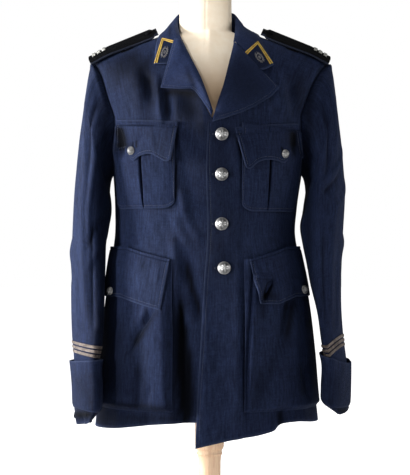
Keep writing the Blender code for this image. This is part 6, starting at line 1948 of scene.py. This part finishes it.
def collarSkin(side):
    # the collar's depth near the patch as a smooth rule of x and z, fitted to its own points
    corners = np.array(list(patchCorners[side].values()))
    cloth = collarPoints[0].reshape(-1, 3)
    low, high = corners.min(0) - 0.004, corners.max(0) + 0.004
    inside = ((cloth[:, [0, 2]] > low) & (cloth[:, [0, 2]] < high)).all(1) & (cloth[:, 1] < 0)
    near = cloth[inside]
    front = near[near[:, 1] < np.median(near[:, 1]) + 0.02]
    middle = corners.mean(0)

    def terms(x, z):
        a, b = (x - middle[0]) * 50, (z - middle[1]) * 50
        return np.stack([np.ones_like(a), a, b, a * b, a * a, b * b], -1)

    fit = np.linalg.lstsq(terms(front[:, 0], front[:, 2]), front[:, 1], rcond=None)[0]

    def laid(flat, lift):
        x, z = flat[..., 0], flat[..., 1]
        y = terms(x, z) @ fit
        step = 1e-4
        alongX, alongZ = (terms(x + step, z) @ fit - y) / step, (terms(x, z + step) @ fit - y) / step
        slope = np.stack([alongX, -np.ones_like(y), alongZ], -1)
        return np.stack([x, y, z], -1) + unit(slope) * np.asarray(lift)[..., None]

    return laid


def collarPatch(side):
    # a four-cornered cloth laid on the collar, with the braid and the wreath on it
    facts, corners = patchFacts, {k: np.array(v) for k, v in patchCorners[side].items()}
    laid = collarSkin(side)
    flipped = sides[side] > 0
    u, v = np.meshgrid(np.linspace(0, 1, 40), np.linspace(0, 1, 40), indexing="ij")
    low = corners["front"] * (1 - u)[..., None] + corners["inner"] * u[..., None]
    high = corners["corner"] * (1 - u)[..., None] + corners["top"] * u[..., None]
    flat = low * (1 - v)[..., None] + high * v[..., None]
    near = np.minimum(np.minimum(u, 1 - u), np.minimum(v, 1 - v))
    points = laid(flat, facts["lift"] - 0.0005 * smooth(0.06, 0.0, near))
    # the patch's cloth is dyed darker than the collar, through the same mark as the painted shade
    clothPiece(f"patch_cloth_{side}", points[::-1] if flipped else points, litFaceWool, [f"collar_patch_{side}"],
               thick=facts["thick"], paintedShadeAndDye=0.55 + 0 * near, trim=True, edge=bump(near, 0.03))
    # two ribs of flat braid with a dark line between them, round the outer corner
    first, second = unit(corners["front"] - corners["corner"]), unit(corners["top"] - corners["corner"])
    inward = unit(first + second) / abs(float(first[0] * second[1] - first[1] * second[0])) ** 0.5
    legs = np.linspace(0, 1, 26)[:, None]
    for rib in range(2):
        start = 0.0004 + rib * (facts["braid"] + facts["gap"])
        across = np.linspace(0, facts["braid"], 9)
        lines = []
        for w in start + across:
            ends = {
                "front": corners["front"] + unit(corners["inner"] - corners["front"]) * w,
                "corner": corners["corner"] + inward * w,
                "top": corners["top"] + unit(corners["inner"] - corners["top"]) * w,
            }
            one = ends["front"] * (1 - legs) + ends["corner"] * legs
            two = ends["corner"] * (1 - legs) + ends["top"] * legs
            lines.append(np.concatenate([one, two[1:]]))
        flat = np.array(lines)
        crown = 0.0005 * np.sin(np.pi * (across / facts["braid"]))[:, None] * np.ones(flat.shape[1])
        points = laid(flat, facts["lift"] + 0.0006 + crown)
        if not flipped:
            points = points[::-1]
        stands = [f"patch_braid_{side}"] if rib == 0 else []
        clothPiece(f"patch_braid_line_{side}_{rib + 1}", points, yellowBraid, stands, thick=0.0006,
                   slotName="yellow_braid", trim=True)
    wreath(side, laid, corners)


def wreath(side, laid, corners):
    # a plain wreath: two sprays of pointed leaves on a ring, open at the top, round a small boss
    facts = patchFacts
    shares = {"corner": 0.22, "front": 0.26, "top": 0.22, "inner": 0.3}
    middle = sum(share * corners[k] for k, share in shares.items())
    up = unit(corners["corner"] + corners["top"] - corners["front"] - corners["inner"])
    right = np.array([up[1], -up[0]])
    leaf, turn = np.linspace(0, 1, 9)[:, None], np.linspace(-1, 1, 7)[None, :]
    pieces = []
    for spray in (-1, 1):  # the sprays stand taller than they are wide
        for n in range(facts["leaves"]):
            swing = math.radians(-80 + n * 20)
            for lean in (-0.75, 0.55):
                root = facts["wreath"] * 0.72 * np.array([math.cos(swing) * spray, math.sin(swing)])
                way = swing + math.pi / 2 + lean
                tip = np.array([math.cos(way) * spray, math.sin(way)])
                side2 = np.array([-tip[1], tip[0]])
                wide = 0.00055 * np.sin(np.pi * leaf**0.8) + 0.00008
                spot = root + leaf[..., None] * 0.0034 * tip + (wide * turn)[..., None] * side2
                spot = spot * np.array([0.72, 1.45])
                pieces.append((spot, (0.0011 + 0.0005 * (1 - turn**2) * np.sin(np.pi * leaf))))
    ringTurn = np.linspace(math.radians(-90), math.radians(90), 9)[:, None]
    for n in range(6):
        angle = n / 6 * 2 * math.pi + ringTurn / 3
        reach = 0.0008 + 0.001 * (turn + 1) / 2
        spot = np.stack([reach * np.cos(angle), 1.8 * reach * np.sin(angle)], -1)
        pieces.append((spot, 0.0012 + 0.0006 * (1 - turn**2) + 0 * angle))
    flats = np.array([p for p, _ in pieces])
    lifts = np.array([np.broadcast_to(h, p.shape[:2]) for p, h in pieces])
    flat = middle + flats[..., :1] * right + flats[..., 1:] * up
    points = laid(flat, facts["lift"] + lifts - 0.0004)
    rows, columns = points.shape[1:3]
    quads = gridQuads(rows, columns)
    faces = (quads[None] + rows * columns * np.arange(len(points))[:, None, None]).reshape(-1, 4)
    mesh = buildMesh(f"patch_wreath_{side}", points.reshape(-1, 3), faces)
    piece = place(f"patch_wreath_{side}", mesh, greyThread, (), "silver_braid")
    wall = piece.modifiers.new("wall", "SOLIDIFY")
    wall.thickness, wall.offset = 0.0005, 0.0


for eachSide in sides:
    collarPatch(eachSide)
print("collar patches made")

# dress form and stand
formInset = {
    "level": [0.33, 0.43, 0.52, 0.62, 0.72, 0.8, 0.88, 0.95],
    "inset": [0.052, 0.034, 0.02, 0.01, 0.008, 0.007, 0.007, 0.0085],
}
formFacts = {"bottom": 0.335, "side": 0.2, "columns": 160, "columnWidth": 0.0045, "seam": 0.0007,
             "seamsAt": (0.0, math.pi, 1.15, -1.15), "blend": 0.0015}
neckFacts = {"x": -0.0075, "y": 0.004, "base": 0.965, "top": 1.078, "baseRadius": 0.05, "topRadius": 0.049}


def formRadius(phase, z):
    # distance from the neck's axis to where a ray meets the inset body, by halving; the neck joins softly
    way = np.stack([np.sin(phase), -np.cos(phase)], -1)
    inset = curve(formInset, "level", "inset", np.minimum(z, 0.95))
    low, high = np.zeros(phase.shape), np.full(phase.shape, 0.3)
    armpit, ridge, dome, square = (bodySize[k] for k in ("armpit", "ridge", "dome", "square"))
    for _ in range(24):
        middle = (low + high) / 2
        x, y = neckFacts["x"] + middle * way[..., 0], neckFacts["y"] + middle * way[..., 1]
        peak = shoulderHeight(x) - inset * 1.1
        rise = np.clip((z - armpit) / np.maximum(peak - armpit, 1e-6), 0, 1)
        level = np.where(z <= armpit, z, armpit + rise * (ridge - armpit))
        depth = (bodyDepth(y < 0, level) - inset) * np.maximum(1 - rise**dome, 1e-9) ** (1 / dome)
        inside = (np.abs(x) / (bodyWidth(x, level) - inset)) ** square + (np.abs(y) / depth) ** square < 1
        inside &= rise < 1
        low, high = np.where(inside, middle, low), np.where(inside, high, middle)
    low = np.minimum(low, formFacts["side"] / np.maximum(np.abs(np.sin(phase)), 1e-6))
    share = np.clip((z - neckFacts["base"]) / (neckFacts["top"] - neckFacts["base"]), 0, 1)
    neck = neckFacts["baseRadius"] + (neckFacts["topRadius"] - neckFacts["baseRadius"]) * share
    blend = formFacts["blend"]
    return np.logaddexp(low / blend, neck * smooth(0.86, 0.93, z) / blend) * blend


def dressForm():
    # level rings up the torso and neck, with rounded rims above and below and sewn seams down the jersey
    facts = formFacts
    torso = np.linspace(facts["bottom"], 0.88, 80, endpoint=False)
    z = np.concatenate([torso, np.linspace(0.88, neckFacts["top"], 70)])
    phase, height = np.meshgrid(ringTurns(facts["columns"]), z, indexing="ij")
    radius = formRadius(phase, height)
    for seam in facts["seamsAt"]:
        gap = np.angle(np.exp(1j * (phase - seam))) * radius
        radius = radius - facts["seam"] * bump(gap, 0.0014) * smooth(1.075, 1.06, height)
    rim = np.minimum(height - facts["bottom"], neckFacts["top"] - height)
    radius = radius - 0.004 * bump(rim, 0.003)
    x, y = neckFacts["x"] + radius * np.sin(phase), neckFacts["y"] - radius * np.cos(phase)
    points = np.stack([x, y, height], -1)
    # the caps: rings drawn in to the middle, the upper one a shallow turned disc
    share = np.array([0.8, 0.55, 0.3, 0.05])
    middle = np.array([neckFacts["x"], neckFacts["y"], 0])
    below = points[:, :1] * share[::-1, None] + (middle + [0, 0, facts["bottom"]]) * (1 - share[::-1, None])
    above = points[:, -1:] * share[:, None] + (middle + [0, 0, neckFacts["top"]]) * (1 - share[:, None])
    points = np.concatenate([below, points, above], 1)
    columns, rows = points.shape[:2]
    quads = gridQuads(columns, rows, closed=True)
    i, j = quads // rows, quads % rows
    flat = np.stack([wrappedColumns(i, columns) * facts["columnWidth"], points[0, :, 2][j]], -1)
    # painted shade on the jersey, darker from the top of the collar's V downwards
    lowShade = {"paintedShadeAndDye": smooth(0.96, 0.845, points[..., 2])}
    piece = solidPiece("dress_form_jersey", points, whiteJersey, ["dress_form"], "white_jersey", lowShade,
                       flat)


standProfiles = {  # radius and height, from the top down
    "pole": [
        (0.001, 0.3347), (0.04, 0.3347), (0.0405, 0.331), (0.0405, 0.319), (0.039, 0.315), (0.033, 0.309),
        (0.03, 0.3), (0.0286, 0.28), (0.0278, 0.25), (0.0275, 0.225), (0.0276, 0.208), (0.0268, 0.201),
        (0.0238, 0.1965), (0.0236, 0.193), (0.0246, 0.19), (0.0225, 0.186), (0.0214, 0.176), (0.021, 0.15),
        (0.021, 0.06), (0.0212, 0.044), (0.0235, 0.037), (0.025, 0.0335), (0.025, 0.0303), (0.001, 0.0303),
    ],
    "base": [
        (0.001, 0.03), (0.12, 0.03), (0.149, 0.0298), (0.155, 0.0285), (0.1575, 0.0262), (0.16, 0.0255),
        (0.1635, 0.0225), (0.165, 0.018), (0.165, 0.003), (0.164, 0.0006), (0.16, 0.0), (0.001, 0.0),
    ],
}


def turned(name, profile, spokes, node):
    # a profile turned round the upright axis: straight lines between its points, a third of them a cubic
    profile = np.array(profile)
    n = len(profile)
    at = np.linspace(0, n - 1, (n - 1) * 6 + 1)
    sharp = np.stack([np.interp(at, np.arange(n), profile[:, k]) for k in (0, 1)], -1)
    fine = curve({"n": np.arange(n), "p": profile}, "n", "p", at) * 0.35 + sharp * 0.65
    turn = ringTurns(spokes)[:, None]
    x, y = np.sin(turn) * fine[:, 0], np.cos(turn) * fine[:, 0]
    solidPiece(name, np.stack(np.broadcast_arrays(x, y, fine[:, 1]), -1), paleWood, [node], "pale_wood")


dressForm()
turned("stand_pole_wood", standProfiles["pole"], 72, "stand_pole")
turned("stand_base_wood", standProfiles["base"], 128, "stand_base")
print("dress form and stand made")

makeSewing()

# floor and lights
floorFacts = {
    "rings": [0.0001, 0.5, 1.5, 4.0, 14.0],
    "level": -0.0004,
    "dark": (0.82, 0.82, 0.82, 1),
    "light": (0.84, 0.84, 0.84, 1),
    "whiteFrom": 0.45,
    "whiteTo": 1.1,
}


def makeFloor():
    # a disc; past the object's own shadow it fades into the white of the surroundings
    ring, turn = np.array(floorFacts["rings"]), ringTurns(64)[:, None]
    points = np.stack(np.broadcast_arrays(np.cos(turn) * ring, np.sin(turn) * ring, floorFacts["level"]), -1)
    mesh = buildMesh("floor", points.reshape(-1, 3), gridQuads(*points.shape[:2], closed=True)[:, ::-1])
    floor = bpy.data.objects.new("floor", mesh)
    material, tree, shader, spot = startMaterial("floor paper", 0.9)
    colour = mixColour(tree, mottleMask(tree, spot, 2.0, 30.0), floorFacts["dark"], floorFacts["light"])
    tree.links.new(colour, shader.inputs["Base Color"])
    distance = tree.nodes.new("ShaderNodeVectorMath")
    distance.operation = "LENGTH"
    tree.links.new(spot.outputs["Object"], distance.inputs[0])
    white = rampNode(tree, distance.outputs["Value"], floorFacts["whiteFrom"], floorFacts["whiteTo"])
    path = tree.nodes.new("ShaderNodeLightPath")
    glow = math2(tree, "MULTIPLY", white, path.outputs["Is Camera Ray"])
    tree.links.new(mixColour(tree, glow, (0, 0, 0, 1), (1, 1, 1, 1)), shader.inputs["Emission Color"])
    shader.inputs["Emission Strength"].default_value = 1.0
    mesh.materials.append(material)
    bpy.context.scene.collection.objects.link(floor)


areaLamps = [  # name, place, size, watts; all turned to areaTarget
    ("key", (-3.1, -0.25, 1.0), 0.8, 190),
    ("fill", (1.6, -2.4, 0.9), 1.8, 6.0),
    ("top", (-0.3, -0.5, 2.7), 1.2, 6),
    ("rimRight", (2.4, -0.1, 0.9), 1.0, 16),
    ("rimLeft", (-2.0, 1.2, 1.2), 1.2, 12),
]
areaTarget = (0, 0, 0.62)
spotLamps = [  # name, place, target, cone in degrees, watts, lamp radius
    ("waist", (-1.9, -1.7, 0.75), (-0.175, -0.11, 0.58), 11.5, 400, 0.25),
    ("neck", (-0.75, -1.8, 1.45), (-0.01, -0.05, 1.01), 9.0, 130, 0.1),
    ("pole", (0.25, -2.2, 0.3), (0.0, 0.0, 0.165), 6.5, 45, 0.1),
]


def addLamp(name, kind, spot, target, watts):
    data = bpy.data.lights.new(name, kind)
    data.energy = watts
    lamp = bpy.data.objects.new(name, data)
    lamp.location = spot
    lamp.rotation_euler = (Vector(target) - Vector(spot)).to_track_quat("-Z", "Y").to_euler()
    bpy.context.scene.collection.objects.link(lamp)
    return data


def makeLights():
    for name, spot, target, cone, watts, radius in spotLamps:
        data = addLamp(name, "SPOT", spot, target, watts)
        data.spot_size, data.spot_blend, data.shadow_soft_size = math.radians(cone), 1.0, radius
    for name, spot, size, watts in areaLamps:
        addLamp(name, "AREA", spot, areaTarget, watts).size = size
    # white surroundings in view, and a softer light from them
    world = bpy.data.worlds.new("studio")
    world.use_nodes = True
    tree = world.node_tree
    path, strength = tree.nodes.new("ShaderNodeLightPath"), tree.nodes.new("ShaderNodeMapRange")
    strength.inputs["To Min"].default_value, strength.inputs["To Max"].default_value = 0.16, 1.0
    tree.links.new(path.outputs["Is Camera Ray"], strength.inputs["Value"])
    background = tree.nodes["Background"]
    background.inputs["Color"].default_value = (1, 1, 1, 1)
    tree.links.new(strength.outputs["Result"], background.inputs["Strength"])
    bpy.context.scene.world = world


makeFloor()
makeLights()
bpy.context.scene.view_settings.view_transform = "Standard"
print("stage and lights made")
